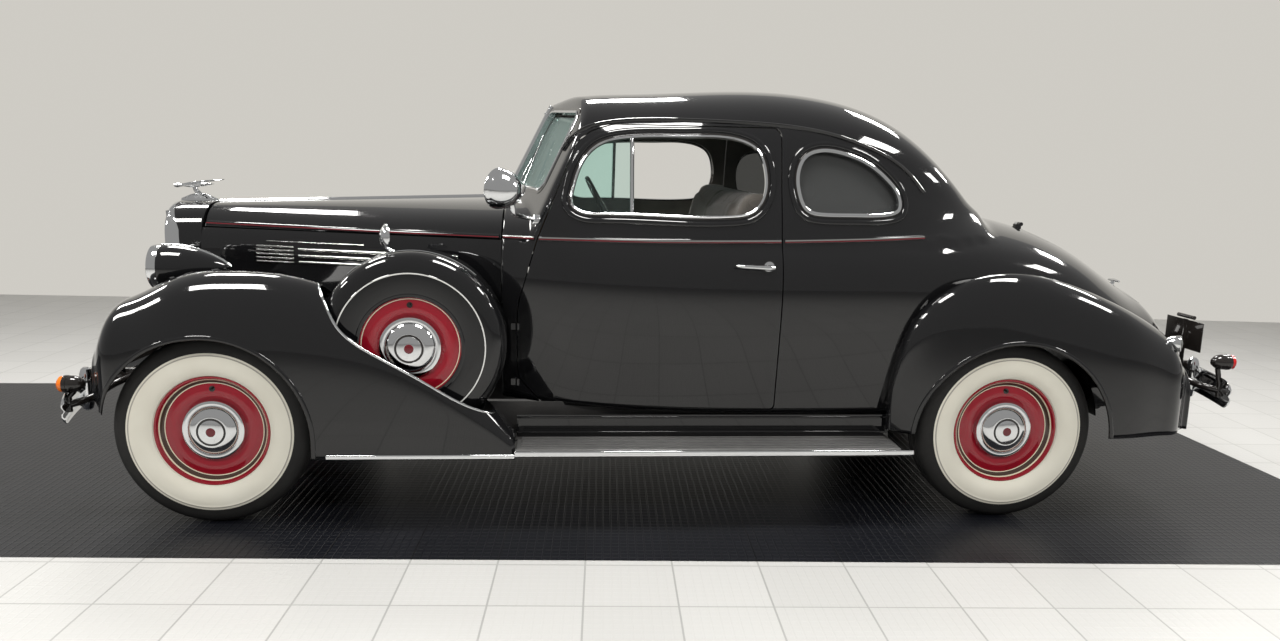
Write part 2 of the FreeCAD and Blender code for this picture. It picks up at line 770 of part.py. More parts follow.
shell_x0 = front_axle + size.shellSetback
shell_x1 = shell_x0 + size.shellDepth
grille_frame = size.grilleInset
surround = shell_solid(0.0, shell_x0, shell_x1)
surround = surround.cut(shell_solid(grille_frame, shell_x0 - size.panelGap, shell_x1 + size.panelGap))
shaped("radiator_shell", surround)
grille_hole = shell_solid(grille_frame, shell_x0, shell_x1)
bar_pitch = size.grilleBarRadius * 4
bar_count = int((size.shellHalfWidth - grille_frame) / bar_pitch)
bars = []
for index in range(-bar_count, bar_count + 1):
    bar = cylinder(size.grilleBarRadius, (shell_x0 + size.grilleInset, index * bar_pitch, size.shellBottom),
                   (shell_x0 + size.grilleInset, index * bar_pitch, size.shellTop))
    bars += bar.common(grille_hole).Solids
shaped("grille_bars", Part.makeCompound(bars))
core = shell_solid(grille_frame + size.seatGap, shell_x0 + size.grilleInset * 2, shell_x1 - size.grilleInset)
shaped("radiator_core", core)

# Front fenders: a pontoon form lofted along the car, hollow, open to the wheel and to the spare's well
fender_section_shares = [(0.0, 0.70), (0.13, 0.80), (0.40, 0.93), (0.66, 1.0), (0.86, 0.93), (0.97, 0.74),
                         (1.0, 0.45), (1.0, 0.0)]
front_fender_shares = [
    # Along the fender, inner edge, outer edge and height
    (0.0, 0.50, 0.86, 0.40),
    (0.018, 0.46, 0.93, 0.60),
    (0.045, 0.42, 0.955, 0.745),
    (0.10, 0.365, 0.98, 0.865),
    (0.20, 0.38, 1.0, 0.965),
    (0.33, 0.42, 1.0, 1.0),
    (0.45, 0.485, 1.0, 0.985),
    (0.58, 0.56, 1.0, 0.905),
    (0.72, 0.63, 1.0, 0.74),
    (0.86, 0.695, 1.0, 0.46),
    (0.95, 0.725, 1.0, 0.25),
    (1.0, 0.735, 1.0, 0.12),
]
rear_fender_shares = [
    (0.0, 0.78, 0.85, 0.16),
    (0.02, 0.78, 0.875, 0.44),
    (0.06, 0.77, 0.92, 0.70),
    (0.13, 0.75, 0.97, 0.86),
    (0.22, 0.73, 0.995, 0.96),
    (0.33, 0.70, 1.0, 1.0),
    (0.46, 0.64, 1.0, 0.975),
    (0.60, 0.57, 1.0, 0.895),
    (0.74, 0.50, 0.99, 0.78),
    (0.86, 0.44, 0.95, 0.655),
    (0.95, 0.40, 0.88, 0.50),
    (1.0, 0.40, 0.80, 0.30),
]


def fender_solid(shares, start, length, outermost, bottom, height, wall):
    """A fender's form on the left side, drawn in by its wall."""
    wires = []
    for along, inner, outer, top in shares:
        x = start + length * along + wall * (1 - 2 * along)
        inner_y = outermost * inner + wall
        across = outermost * outer - wall - inner_y
        base = bottom - wall
        points = [Vector(x, -(inner_y + across * out), base + height * top * up) for out, up in fender_section_shares]
        foot = Vector(x, -inner_y, base)
        curve = Part.BSplineCurve()
        curve.interpolate(points)
        wires.append(Part.Wire([Part.LineSegment(foot, points[0]).toShape(), curve.toShape(),
                                Part.LineSegment(points[-1], foot).toShape()]))
    return Part.makeLoft(wires, True, False)


def front_form(wall):
    return fender_solid(front_fender_shares, front_axle + size.fenderFront, size.fenderLength,
                        size.fenderHalfWidth, size.fenderBottom, size.fenderHeight, wall)


def rear_form(wall):
    return fender_solid(rear_fender_shares, front_axle + size.rearFenderFront, size.rearFenderLength,
                        size.rearFenderOutset, size.rearFenderBottom, size.rearFenderHeight, wall)


def arch(x, radius, inner):
    """The wheel opening: round over the wheel and straight down below."""
    z = axle_height - size.archDrop
    disc = cylinder(radius, (x, -inner, z), (x, -inner - size.cutOverrun, z))
    skirt = box((x - radius, -inner - size.cutOverrun, 0), (x + radius, -inner, z))
    return disc.fuse(skirt)


spare_x = front_axle + size.spareSetback
spare_inner = size.spareOuterFace - size.spareWidth
well_radius = size.spareRadius + size.wellClearance
arch_inner = size.frontTrack / 2 + size.tyreHalfWidth / 2
front_outer = front_form(0.0)
hood_block = hood_side(-size.seatGap)
spare_well = cylinder(well_radius, (spare_x, -size.spareOuterFace - size.wellClearance, size.spareHeight),
                      (spare_x, -spare_inner + size.wellClearance, size.spareHeight))
lip_line = [(-1.0, 1.6), (-1.0, 0.68), (-0.87, 0.48), (-0.71, 0.21), (-0.35, -0.06), (0.18, -0.36), (0.60, -0.60),
            (1.0, -0.74), (1.0, 1.6)]
spare_above = side_prism([(spare_x + well_radius * along, size.spareHeight + well_radius * up) for along, up in lip_line],
                         [0.0] * len(lip_line), spare_inner - size.wellClearance, size.boardOuter)
well_liner = cylinder(well_radius + size.sheetThickness,
                      (spare_x, -size.spareOuterFace - size.wellClearance, size.spareHeight),
                      (spare_x, -spare_inner + size.wellClearance + size.sheetThickness, size.spareHeight))
well_liner = well_liner.cut([spare_well, spare_above]).common(front_outer)
inner_trim = box((-long_run, -size.apronHalfWidth, 0), (long_run, 0, size.apronHeight))
front_foot = box((-long_run, -long_run, 0), (front_axle, 0, size.frontFenderFoot))
front_skin = front_outer.cut(front_form(size.sheetThickness))
front_skin = front_skin.cut([arch(front_axle, size.archRadius, arch_inner), spare_well, spare_above, inner_trim,
                             front_foot, hood_block, tub_outer, door_prism(-size.panelGap)])
front_skin = max(front_skin.Solids, key=lambda solid: solid.Volume)
front_fender = fused([front_skin, well_liner.cut([hood_block, tub_outer])])
shaped("front_fenders", Part.makeCompound([on_side(front_fender, side) for side in both_sides]))

# Rear fenders stand out from the body side and carry the wheelhouse behind the wheel opening
board_inner_share = 0.955
rear_outer = rear_form(0.0)
rear_skin = rear_outer.cut([rear_form(size.sheetThickness), tub_outer])
board_inner = size.bodyHalfWidth * board_inner_share
below_body = box((-long_run, -board_inner, 0), (long_run, 0, size.bodyBottom))
rear_skin = rear_skin.cut([arch(rear_axle, size.archRadius, size.wheelhouseWall), below_body])
rear_skin = max(rear_skin.Solids, key=lambda solid: solid.Volume)
house_radius = size.wheelhouseRadius - size.seatGap
house_inner = size.wheelhouseWall + size.seatGap
house = cylinder(house_radius, (rear_axle, -size.rearFenderOutset, axle_height), (rear_axle, -house_inner, axle_height))
house_void = cylinder(house_radius - size.sheetThickness, (rear_axle, -size.rearFenderOutset, axle_height),
                      (rear_axle, -house_inner - size.sheetThickness, axle_height))
house = house.cut(house_void).common(tub_outer)
house = house.cut(box((-long_run, -long_run, 0), (long_run, long_run, size.bodyBottom)))
house = max(house.Solids, key=lambda solid: solid.Volume)
shaped("rear_fenders", Part.makeCompound([on_side(piece, side) for side in both_sides for piece in (rear_skin, house)]))

# Running boards with ribbed tops between the fenders
board_x0 = front_axle + size.fenderFront + size.fenderLength + size.seatGap
board_x1 = board_x0 + size.boardLength
board_top = size.boardHeight
board = box((board_x0, -size.boardOuter, board_top - size.boardThickness), (board_x1, -board_inner, board_top))
board = board.makeFillet(size.boardThickness / 3, [edge for edge in board.Edges
                                                   if edge.CenterOfMass.y < -size.boardOuter * 0.999
                                                   and edge.Length > size.boardLength / 2])
ribs = []
rib_count = int((size.boardOuter - board_inner) / size.ribPitch) - 1
for index in range(1, rib_count + 1):
    y = -size.boardOuter + size.ribPitch * index
    ribs.append(box((board_x0 + size.ribPitch, y, board_top - size.seatGap),
                    (board_x1 - size.ribPitch, y + size.ribPitch / 2, board_top + size.ribHeight)))
board = fused([board] + ribs).cut([front_outer, rear_outer])
board = max(board.Solids, key=lambda solid: solid.Volume)
sill = box((board_x0, -board_inner - size.sheetThickness, board_top - size.seatGap),
           (board_x1, -board_inner, size.doorBottom - size.panelGap * 2))
sill = sill.cut([front_outer, rear_outer, tub_outer])
board = fused([board, max(sill.Solids, key=lambda solid: solid.Volume)])
shaped("running_boards", Part.makeCompound([on_side(board, side) for side in both_sides]))

# Side-mounted spares in metal covers, standing in the fender wells
cover_profile = [
    ("0", "spareOpening"),
    ("0", "spareRadius * 0.86"),
    ("-spareWidth * 0.10", "spareRadius * 0.965"),
    ("-spareWidth * 0.30", "spareRadius"),
    ("-spareWidth", "spareRadius"),
    ("-spareWidth", "spareOpening"),
]
spare_wheel_profile = [
    ("-spareWidth", "0"),
    ("-spareWidth", "spareOpening - seatGap"),
    ("-spareWidth * 0.16", "spareOpening - seatGap"),
    ("-spareWidth * 0.30", "spareOpening * 0.90"),
    ("-spareWidth * 0.26", "spareOpening * 0.64"),
    ("-spareWidth * 0.05", "hubcapRadius"),
    ("spareWidth * 0.06", "hubcapRadius * 0.86"),
    ("spareWidth * 0.15", "hubcapRadius * 0.50"),
    ("spareWidth * 0.17", "0"),
]
spare_base = (front_axle_text + " + spareSetback", "-spareOuterFace", "spareHeight")
mirrored_pair("spare_covers", facing(turned("spareCover", cover_profile), spare_base, LEFT))
mirrored_pair("spare_wheels", facing(turned("spareWheel", spare_wheel_profile), spare_base, LEFT))

mirror_y = (size.spareOuterFace + spare_inner) / 2
mirror_foot = (spare_x - size.mirrorRadius, -mirror_y, size.spareHeight + size.spareRadius * 0.985)
mirror_middle = (spare_x - size.mirrorRadius * 2, -mirror_y, size.mirrorHeight)
mirror_disc = cylinder(size.mirrorRadius, mirror_middle,
                       (mirror_middle[0] - size.mirrorThickness, -mirror_y, size.mirrorHeight))
mirror_stem = cylinder(size.mirrorThickness / 3, mirror_foot, mirror_middle)
cover_round = cylinder(size.spareRadius + size.seatGap, (spare_x, -size.spareOuterFace, size.spareHeight),
                       (spare_x, -spare_inner, size.spareHeight))
strap = cylinder(size.spareRadius + size.spareWall, (spare_x, -mirror_y - size.mirrorThickness, size.spareHeight),
                 (spare_x, -mirror_y + size.mirrorThickness, size.spareHeight)).cut(cover_round)
strap = strap.common(box((spare_x - size.spareRadius, -long_run, size.spareHeight + size.spareRadius * 0.65),
                         (spare_x + size.spareRadius, 0, long_run)))
cover_mirror = fused([mirror_disc, mirror_stem.cut(cover_round), strap])
shaped("cover_mirrors", Part.makeCompound([on_side(cover_mirror, side) for side in both_sides]))

# Headlamps on short stands above the catwalks
lamp_stand_share = 0.42
lamp_profile = [
    ("0", "0"),
    ("0", "headlampRadius * 0.90"),
    ("headlampLength * 0.06", "headlampRadius * 0.985"),
    ("headlampLength * 0.20", "headlampRadius"),
    ("headlampLength * 0.40", "headlampRadius * 0.94"),
    ("headlampLength * 0.62", "headlampRadius * 0.72"),
    ("headlampLength * 0.84", "headlampRadius * 0.38"),
    ("headlampLength", "0"),
]
lens_profile = [
    ("-seatGap", "0"),
    ("-seatGap", "headlampRadius * 0.86"),
    ("-lensDepth * 0.45", "headlampRadius * 0.68"),
    ("-lensDepth * 0.85", "headlampRadius * 0.38"),
    ("-lensDepth", "0"),
]
lamp_base = (front_axle_text + " + headlampSetback", "-headlampOut", "headlampHeight")
headlamp = place(turned("headlamp", lamp_profile), lamp_base)
mirrored_pair("headlamp_lenses", place(turned("headlampLens", lens_profile), lamp_base))
stand_x = front_axle + size.headlampSetback + size.headlampLength * lamp_stand_share
stand = cylinder(size.headlampRadius / 3, (stand_x, -size.headlampOut, size.headlampHeight - size.headlampRadius * 0.6),
                 (stand_x, -size.headlampOut, size.apronHeight)).cut(front_outer)
stand = max(stand.Solids, key=lambda solid: solid.BoundBox.ZMax)
doc.recompute()
headlamp = headlamp.Shape.Solids[0].fuse(stand).removeSplitter()
shaped("headlamps", Part.makeCompound([on_side(headlamp.Solids[0], side) for side in both_sides]))

# Spotlight on the left windshield pillar
spot_profile = [
    ("0", "0"),
    ("0", "spotlightRadius * 0.92"),
    ("spotlightLength * 0.12", "spotlightRadius"),
    ("spotlightLength * 0.40", "spotlightRadius * 0.93"),
    ("spotlightLength * 0.75", "spotlightRadius * 0.62"),
    ("spotlightLength", "0"),
]
spot_base = (front_axle_text + " + spotlightSetback", "-spotlightOut", "spotlightHeight")
spotlight = place(turned("spotlightBody", spot_profile), spot_base)
doc.recompute()
spot_x = front_axle + size.spotlightSetback + size.spotlightLength * 0.45
spot_foot_x = front_axle + size.doorSetback + size.spotlightRadius
arm = cylinder(size.hingeRadius, (spot_x, -size.spotlightOut, size.spotlightHeight - size.spotlightRadius * 0.8),
               (spot_foot_x, -size.spotlightOut * 0.60, size.sideWindowSill))
arm = max(arm.cut(body_outer).Solids, key=lambda solid: solid.Volume)
shaped("spotlight", spotlight.Shape.Solids[0].fuse(arm).removeSplitter().Solids[0])

# Tail lamps on the rear fenders, and signal lamps on the bumper brackets
tail_profile = [
    ("tailLampLength", "0"),
    ("tailLampLength", "tailLampRadius * 0.80"),
    ("tailLampLength * 0.86", "tailLampRadius"),
    ("tailLampLength * 0.50", "tailLampRadius * 0.92"),
    ("0", "tailLampRadius * 0.30"),
    ("0", "0"),
]
tail_x = front_axle + size.tailLampSetback
tail_out = skin_at(rear_outer, tail_x + size.tailLampLength * 0.3, size.tailLampHeight) + size.tailLampRadius * 0.6
tail_lamp = turned("tailLamp", tail_profile)
tail_lamp.Placement.Base = Vector(tail_x, -tail_out, size.tailLampHeight)
doc.recompute()
tail_shape = max(tail_lamp.Shape.cut(rear_outer).Solids, key=lambda solid: solid.Volume)
shaped("tail_lamps", Part.makeCompound([on_side(tail_shape, side) for side in both_sides]))

signal_profile = [
    ("0", "0"),
    ("0", "signalRadius * 0.88"),
    ("signalLength * 0.10", "signalRadius"),
    ("signalLength * 0.45", "signalRadius"),
    ("signalLength * 0.85", "signalRadius * 0.55"),
    ("signalLength", "0"),
]
front_signal_base = (front_axle_text + " + frontSignalSetback", "-signalOut", "frontSignalHeight")
front_signal = place(turned("frontSignal", signal_profile), front_signal_base)
rear_signal_base = (front_axle_text + " + rearSignalSetback", "-signalOut", "rearSignalHeight")
rear_signal = place(turned("rearSignal", signal_profile), rear_signal_base, (0, 0, 1), 180.0)
doc.recompute()
front_signals = [on_side(front_signal.Shape.Solids[0], side) for side in both_sides]
rear_signals = [on_side(rear_signal.Shape.Solids[0], side) for side in both_sides]
shaped("signal_lamps", Part.makeCompound(front_signals + rear_signals))

# Bumpers: a swept blade, two upright guards and brackets back to the frame


def bumper(face, toward, height, frame_end, frame_top, signal_x, signal_height):
    """A bumper blade with guards and brackets; toward is +1 where the car lies rearward of it."""
    blade_face = face
    low = height - size.bumperBladeHeight / 2
    middle = Vector(blade_face, 0, low)
    tips = [Vector(blade_face + toward * size.bumperSweep, side * size.bumperHalfWidth, low) for side in both_sides]
    back = Vector(toward * size.bumperBladeThickness, 0, 0)
    front_arc = Part.Arc(tips[0], middle, tips[1]).toShape()
    back_arc = Part.Arc(tips[1] + back, middle + back, tips[0] + back).toShape()
    ends = [Part.LineSegment(tips[1], tips[1] + back).toShape(), Part.LineSegment(tips[0] + back, tips[0]).toShape()]
    blade = Part.Face(Part.Wire([front_arc, ends[0], back_arc, ends[1]])).extrude(Vector(0, 0, size.bumperBladeHeight))
    groove = size.bumperBladeThickness / 3
    valley = Part.Face(Part.Wire([front_arc, ends[0], back_arc, ends[1]]))
    valley.translate(Vector(-toward * (size.bumperBladeThickness - groove), 0, size.bumperBladeHeight * 0.42))
    blade = blade.cut(valley.extrude(Vector(0, 0, size.bumperBladeHeight * 0.16)))
    pieces = [blade]
    for side in both_sides:
        y = side * size.guardOut
        x = blade_face + toward * size.bumperSweep * (size.guardOut / size.bumperHalfWidth) ** 2
        guard = cylinder(size.guardWidth / 2, (x + toward * size.guardWidth / 4, y, height - size.guardHeight / 2),
                         (x + toward * size.guardWidth / 4, y, height + size.guardHeight / 2))
        guard = guard.makeFillet(size.guardWidth / 5, [edge for edge in guard.Edges if edge.Closed])
        pieces.append(guard)
        y = side * size.frameOut
        x = blade_face + toward * size.bumperSweep * (size.frameOut / size.bumperHalfWidth) ** 2
        pieces.append(box((min(x, frame_end), y - size.bracketThickness / 2, frame_top - size.bumperBladeHeight / 2),
                          (max(x, frame_end), y + size.bracketThickness / 2, frame_top)))
        y = side * size.signalOut
        x = blade_face + toward * size.bumperSweep * (size.signalOut / size.bumperHalfWidth) ** 2
        x += toward * size.bumperBladeThickness / 2
        pieces.append(cylinder(size.signalRadius / 3, (x, y, height), (x, y, signal_height)))
        pieces.append(cylinder(size.signalRadius / 3, (x, y, signal_height),
                               (signal_x + toward * size.signalLength * 0.3, y, signal_height)))
    return fused(pieces)


rail_front = front_face + size.bumperSweep * 1.8
rail_rear = rear_face - size.bumperSweep * 1.8
front_rail_top = size.railBottom + size.railHeight
front_bumper = bumper(front_face, 1, size.frontBumperHeight, rail_front - size.seatGap, front_rail_top,
                      front_axle + size.frontSignalSetback, size.frontSignalHeight)
rear_bumper = bumper(rear_face, -1, size.rearBumperHeight, rail_rear + size.seatGap, size.railBottom + size.railHeight
                     + size.kickUp / 3, front_axle + size.rearSignalSetback, size.rearSignalHeight)
front_bumper = max(front_bumper.cut(front_signals).Solids, key=lambda solid: solid.Volume)
rear_bumper = max(rear_bumper.cut(rear_signals).Solids, key=lambda solid: solid.Volume)
shaped("front_bumper", front_bumper)
shaped("rear_bumper", rear_bumper)

# A blank plate stands on the left rear bracket under a round lamp bar
plate_x = front_axle + size.plateSetback
plate_outer = size.plateInner + size.plateWidth
plate_middle = size.plateInner + size.plateWidth / 2
plate_top = size.plateBottom + size.plateHeight
plate_pieces = [
    box((plate_x, -plate_outer, size.plateBottom), (plate_x + size.spareWall, -size.plateInner, plate_top)),
    cylinder(size.hingeRadius, (plate_x, -plate_middle - size.guardWidth, plate_top + size.hingeRadius / 2),
             (plate_x, -plate_middle + size.guardWidth, plate_top + size.hingeRadius / 2)),
    box((plate_x, -plate_middle - size.guardWidth / 4, size.rearBumperHeight),
        (plate_x + size.spareWall, -plate_middle + size.guardWidth / 4, plate_top)),
    box((plate_x, -plate_middle - size.guardWidth / 4, size.rearBumperHeight - size.guardWidth / 4),
        (rear_face, -plate_middle + size.guardWidth / 4, size.rearBumperHeight)),
]
shaped("rear_plate", max(fused(plate_pieces).cut([rear_bumper, rear_outer, tub_outer]).Solids, key=lambda solid: solid.Volume))

# Chassis frame: two side rails kicked up over the rear axle, with cross-members
kick_start = rear_axle - size.springLength * 0.55
kick_end = rear_axle + size.springLength * 0.55
ramp = size.kickUp * 1.4
rail_line = [(rail_front, 0), (kick_start, 0), (kick_start + ramp, size.kickUp), (kick_end - ramp, size.kickUp),
             (kick_end, size.kickUp / 3), (rail_rear, size.kickUp / 3)]
rail_low = [Vector(x, -size.frameOut - size.railWidth / 2, size.railBottom + lift) for x, lift in rail_line]
rail_high = [point + Vector(0, 0, size.railHeight) for point in reversed(rail_low)]
rail = Part.Face(Part.makePolygon(rail_low + rail_high + rail_low[:1])).extrude(Vector(0, size.railWidth, 0))
gap_down = Vector(0, -size.seatGap, -size.seatGap)
clear_low = [point + gap_down for point in rail_low]
clear_high = [point - Vector(0, size.seatGap, -size.seatGap) for point in rail_high]
rail_clear = Part.Face(Part.makePolygon(clear_low + clear_high + clear_low[:1]))
rail_clear = rail_clear.extrude(Vector(0, size.railWidth + 2 * size.seatGap, 0))
rail_clears = [on_side(rail_clear, side) for side in both_sides]
inner_reach = size.frameOut + size.railWidth / 2
jack_pads = []
for setback in (size.frontJackPadSetback, size.rearJackPadSetback):
    x = front_axle + setback
    jack_pads.append(box((x - size.jackPadLength / 2, -inner_reach, size.railBottom - size.sheetThickness),
                         (x + size.jackPadLength / 2, size.railWidth - inner_reach, size.railBottom)))
frame_pieces = [on_side(fused([rail] + jack_pads), side) for side in both_sides]
cross_members = []
cross_shares = (
    # Place along the frame, lift, and lower and upper edge in shares of the rail's height
    (rail_front, 0, 0.25, 0.75),
    (front_axle + size.engineSetback + size.engineLength * 1.5 - size.railWidth, 0, 0.0, 0.255),
    (kick_start - size.railWidth, 0, 0.55, 1.0),
    (kick_end - size.railWidth * 0.5, size.kickUp / 3, 0.20, 0.70),
)
for x, lift, low_edge, high_edge in cross_shares:
    cross_members.append(box((x, -size.frameOut, size.railBottom + lift + size.railHeight * low_edge),
                            (x + size.railWidth, size.frameOut, size.railBottom + lift + size.railHeight * high_edge)))
cross_x = rear_axle - size.railWidth / 2
cross_members.append(box((cross_x, -size.frameOut, size.railBottom + size.kickUp + size.railHeight / 2),
                        (cross_x + size.railWidth, size.frameOut, size.railBottom + size.kickUp + size.railHeight)))
outriggers = []
for share in (0.08, 0.44, 0.80):
    x = board_x0 + size.boardLength * share
    arm = box((x, -board_inner - size.ribPitch * 2, board_top - size.boardThickness - size.ribPitch),
              (x + size.railWidth, -size.frameOut, board_top - size.boardThickness - size.seatGap))
    leg = box((x, -inner_reach, board_top - size.boardThickness - size.ribPitch),
              (x + size.railWidth, -size.frameOut, size.railBottom + size.railHeight / 2))
    outriggers.append(fused([arm, leg]))
engine_x0 = front_axle + size.engineSetback
engine_x1 = engine_x0 + size.engineLength
for share in (0.2, 0.8):
    x = engine_x0 + size.engineLength * share
    outriggers.append(box((x, -size.frameOut, size.engineBottom),
                          (x + size.railWidth, -size.engineHalfWidth - size.seatGap, size.engineBottom + size.springThickness)))
cross_members += [on_side(piece, side) for side in both_sides for piece in outriggers]
for piece in cross_members:
    frame_pieces.append(max(piece.cut(rail_clears).Solids, key=lambda solid: solid.Volume))
shaped("chassis_frame", Part.makeCompound(frame_pieces))

# Front suspension: a cross-member with upper and lower arms that hold upright kingpins
boss_radius = size.kingpinRadius * 2
arm_rise = size.kingpinHeight / 2
rail_side = size.frameOut + size.railWidth / 2 + size.seatGap
suspension = []
cross_low = axle_height - arm_rise - size.armHeight
suspension.append(box((front_axle - size.railWidth, -rail_side, cross_low),
                      (front_axle + size.railWidth, rail_side, size.railBottom - size.seatGap)))
for side in both_sides:
    for z in (axle_height + arm_rise, axle_height - arm_rise - size.armHeight):
        suspension.append(cylinder(boss_radius, (front_axle, side * size.kingpinOut, z),
                                   (front_axle, side * size.kingpinOut, z + size.armHeight)))
        corners = [Vector(front_axle - size.railWidth, side * rail_side, z), Vector(front_axle + size.railWidth, side * rail_side, z),
                   Vector(front_axle + boss_radius * 0.8, side * size.kingpinOut, z),
                   Vector(front_axle - boss_radius * 0.8, side * size.kingpinOut, z)]
        suspension.append(Part.Face(Part.makePolygon(corners + corners[:1])).extrude(Vector(0, 0, size.armHeight)))
    suspension.append(cylinder(size.kingpinRadius, (front_axle, side * size.kingpinOut, cross_low),
                               (front_axle, side * size.kingpinOut, axle_height + arm_rise + size.armHeight)))
shaped("front_suspension", fused(suspension))

# Knuckles turn on the kingpins and carry the spindles and brake backing plates
drum_back = size.frontTrack / 2 - size.drumDepth
plate_out = drum_back - size.panelGap / 2
for side in both_sides:
    y = side * size.kingpinOut
    play = size.panelGap * 0.7
    barrel = cylinder(boss_radius * 0.9, (front_axle, y, axle_height - arm_rise + play),
                      (front_axle, y, axle_height + arm_rise - play))
    spindle = cylinder(size.hubBore - size.spindleClearance, (front_axle, y, axle_height),
                       (front_axle, side * (size.frontTrack / 2 + size.hubNose * 0.8), axle_height))
    flare = cylinder(size.hubBore * 1.5, (front_axle, y, axle_height), (front_axle, side * plate_out, axle_height))
    plate = cylinder(size.drumRadius, (front_axle, side * (plate_out - size.backingPlateThickness), axle_height),
                     (front_axle, side * plate_out, axle_height))
    pin_hole = cylinder(size.kingpinRadius + size.spindleClearance, (front_axle, y, 0), (front_axle, y, axle_height * 2))
    shaped(f"knuckle_{side_names[side]}", fused([barrel, spindle, flare, plate]).cut(pin_hole))

# Rear axle: tube, differential housing and backing plates, on two long leaf springs
rear_plate = size.rearTrack / 2 - size.drumDepth - size.panelGap / 2
axle_pieces = [
    cylinder(size.axleTubeRadius, (rear_axle, -rear_plate, axle_height), (rear_axle, rear_plate, axle_height)),
    Part.makeSphere(size.differentialRadius, Vector(rear_axle, 0, axle_height)),
    cylinder(size.differentialRadius * 0.55, (rear_axle - size.differentialRadius * 1.4, 0, axle_height),
             (rear_axle, 0, axle_height)),
    cylinder(size.hubBore - size.spindleClearance,
             (rear_axle, -size.rearTrack / 2 - size.hubNose * 0.8, axle_height),
             (rear_axle, size.rearTrack / 2 + size.hubNose * 0.8, axle_height)),
]
for side in both_sides:
    axle_pieces.append(cylinder(size.drumRadius, (rear_axle, side * (rear_plate - size.backingPlateThickness), axle_height),
                                (rear_axle, side * rear_plate, axle_height)))
spring_top = axle_height - size.axleTubeRadius * 0.8
spring_ends = size.springLength / 2
eye = size.springThickness * 0.6
eye_z = size.railBottom - eye
spring_y = -size.frameOut - size.springWidth / 2
low_arc = Part.Arc(Vector(rear_axle - spring_ends, spring_y, eye_z - eye / 2),
                   Vector(rear_axle, spring_y, spring_top - size.springThickness),
                   Vector(rear_axle + spring_ends, spring_y, eye_z - eye / 2)).toShape()
high_arc = Part.Arc(Vector(rear_axle + spring_ends, spring_y, eye_z + eye / 2), Vector(rear_axle, spring_y, spring_top),
                    Vector(rear_axle - spring_ends, spring_y, eye_z + eye / 2)).toShape()
closers = [Part.LineSegment(low_arc.Vertexes[-1].Point, high_arc.Vertexes[0].Point).toShape(),
           Part.LineSegment(high_arc.Vertexes[-1].Point, low_arc.Vertexes[0].Point).toShape()]
leaf = Part.Face(Part.Wire([low_arc, closers[0], high_arc, closers[1]])).extrude(Vector(0, size.springWidth, 0))
spring = [leaf]
for end in (-1, 1):
    x = rear_axle + end * spring_ends
    spring.append(cylinder(eye, (x, spring_y, eye_z), (x, spring_y + size.springWidth, eye_z)))
    spring.append(box((x - eye / 2, spring_y, eye_z), (x + eye / 2, spring_y + size.springWidth,
                                                       size.railBottom + size.kickUp * 0.6)))
spring = max(fused(spring).cut(rail).Solids, key=lambda solid: solid.Volume)
shaped("rear_axle", fused(axle_pieces + [on_side(spring, side) for side in both_sides]))

# Engine block, propeller shaft, exhaust and fuel tank
shaped("engine_block", box((engine_x0, -size.engineHalfWidth, size.engineBottom),
                           (engine_x1, size.engineHalfWidth, size.engineBottom + size.engineHeight)))
gearbox_end = engine_x1 + size.engineLength * 0.5
shaft_z = size.engineBottom + size.shaftRadius
gearbox_radius = size.engineHalfWidth * 0.5
drive = [cylinder(gearbox_radius, (engine_x1 + size.seatGap, 0, shaft_z + size.shaftRadius),
                  (gearbox_end, 0, shaft_z + size.shaftRadius)),
         cylinder(size.shaftRadius, (gearbox_end, 0, shaft_z),
                  (rear_axle - size.differentialRadius * 1.4 - size.seatGap, 0, axle_height))]
drive_block = box((rear_axle - size.differentialRadius * 1.4 - size.seatGap, -size.differentialRadius, 0),
                  (rear_axle, size.differentialRadius, size.engineBottom))
shaped("drive_shaft", fused(drive).cut(drive_block))

exhaust_y = size.frameOut - size.railWidth * 1.6
exhaust_low = size.railBottom - size.exhaustRadius * 1.5
exhaust_high = axle_height + size.axleTubeRadius + size.exhaustRadius * 1.8
exhaust_line = [(engine_x1 - size.engineLength * 0.3, size.engineBottom - size.exhaustRadius * 1.2),
                (engine_x1, exhaust_low), (kick_start, exhaust_low),
                (rear_axle - size.differentialRadius * 1.3, exhaust_high),
                (rear_axle + size.differentialRadius * 1.3, exhaust_high),
                (kick_end + ramp / 2, exhaust_low), (rail_rear, exhaust_low)]
exhaust_pieces = []
for (x0, z0), (x1, z1) in zip(exhaust_line, exhaust_line[1:]):
    exhaust_pieces.append(cylinder(size.exhaustRadius, (x0, exhaust_y, z0), (x1, exhaust_y, z1)))
    if x1 < rail_rear:
        exhaust_pieces.append(Part.makeSphere(size.exhaustRadius, Vector(x1, exhaust_y, z1)))
muffler_x = engine_x1 + size.engineLength * 0.9
exhaust_pieces.append(cylinder(size.mufflerRadius, (muffler_x, exhaust_y - size.mufflerRadius, exhaust_low),
                               (muffler_x + size.engineLength * 0.6, exhaust_y - size.mufflerRadius, exhaust_low)))
strap_half = size.floorThickness
strap_top = size.railBottom - size.seatGap
for x in (engine_x1 + size.drumRadius, kick_start - size.springLength * 0.3):
    exhaust_pieces.append(box((x, exhaust_y - strap_half, exhaust_low), (x + strap_half * 2, exhaust_y + strap_half,
                                                                        strap_top)))
    exhaust_pieces.append(box((x, exhaust_y - strap_half, strap_top - size.sheetThickness),
                              (x + strap_half * 2, size.frameOut, strap_top)))
shaped("exhaust_system", fused(exhaust_pieces))
tank_x = rear_axle + size.tankSetback
trunk_floor = size.railBottom + size.railHeight + size.kickUp + size.seatGap
tank_top = trunk_floor - size.seatGap
tank = box((tank_x, -size.tankHalfWidth, tank_top - size.tankHeight),
           (tank_x + size.tankLength, size.tankHalfWidth, tank_top))
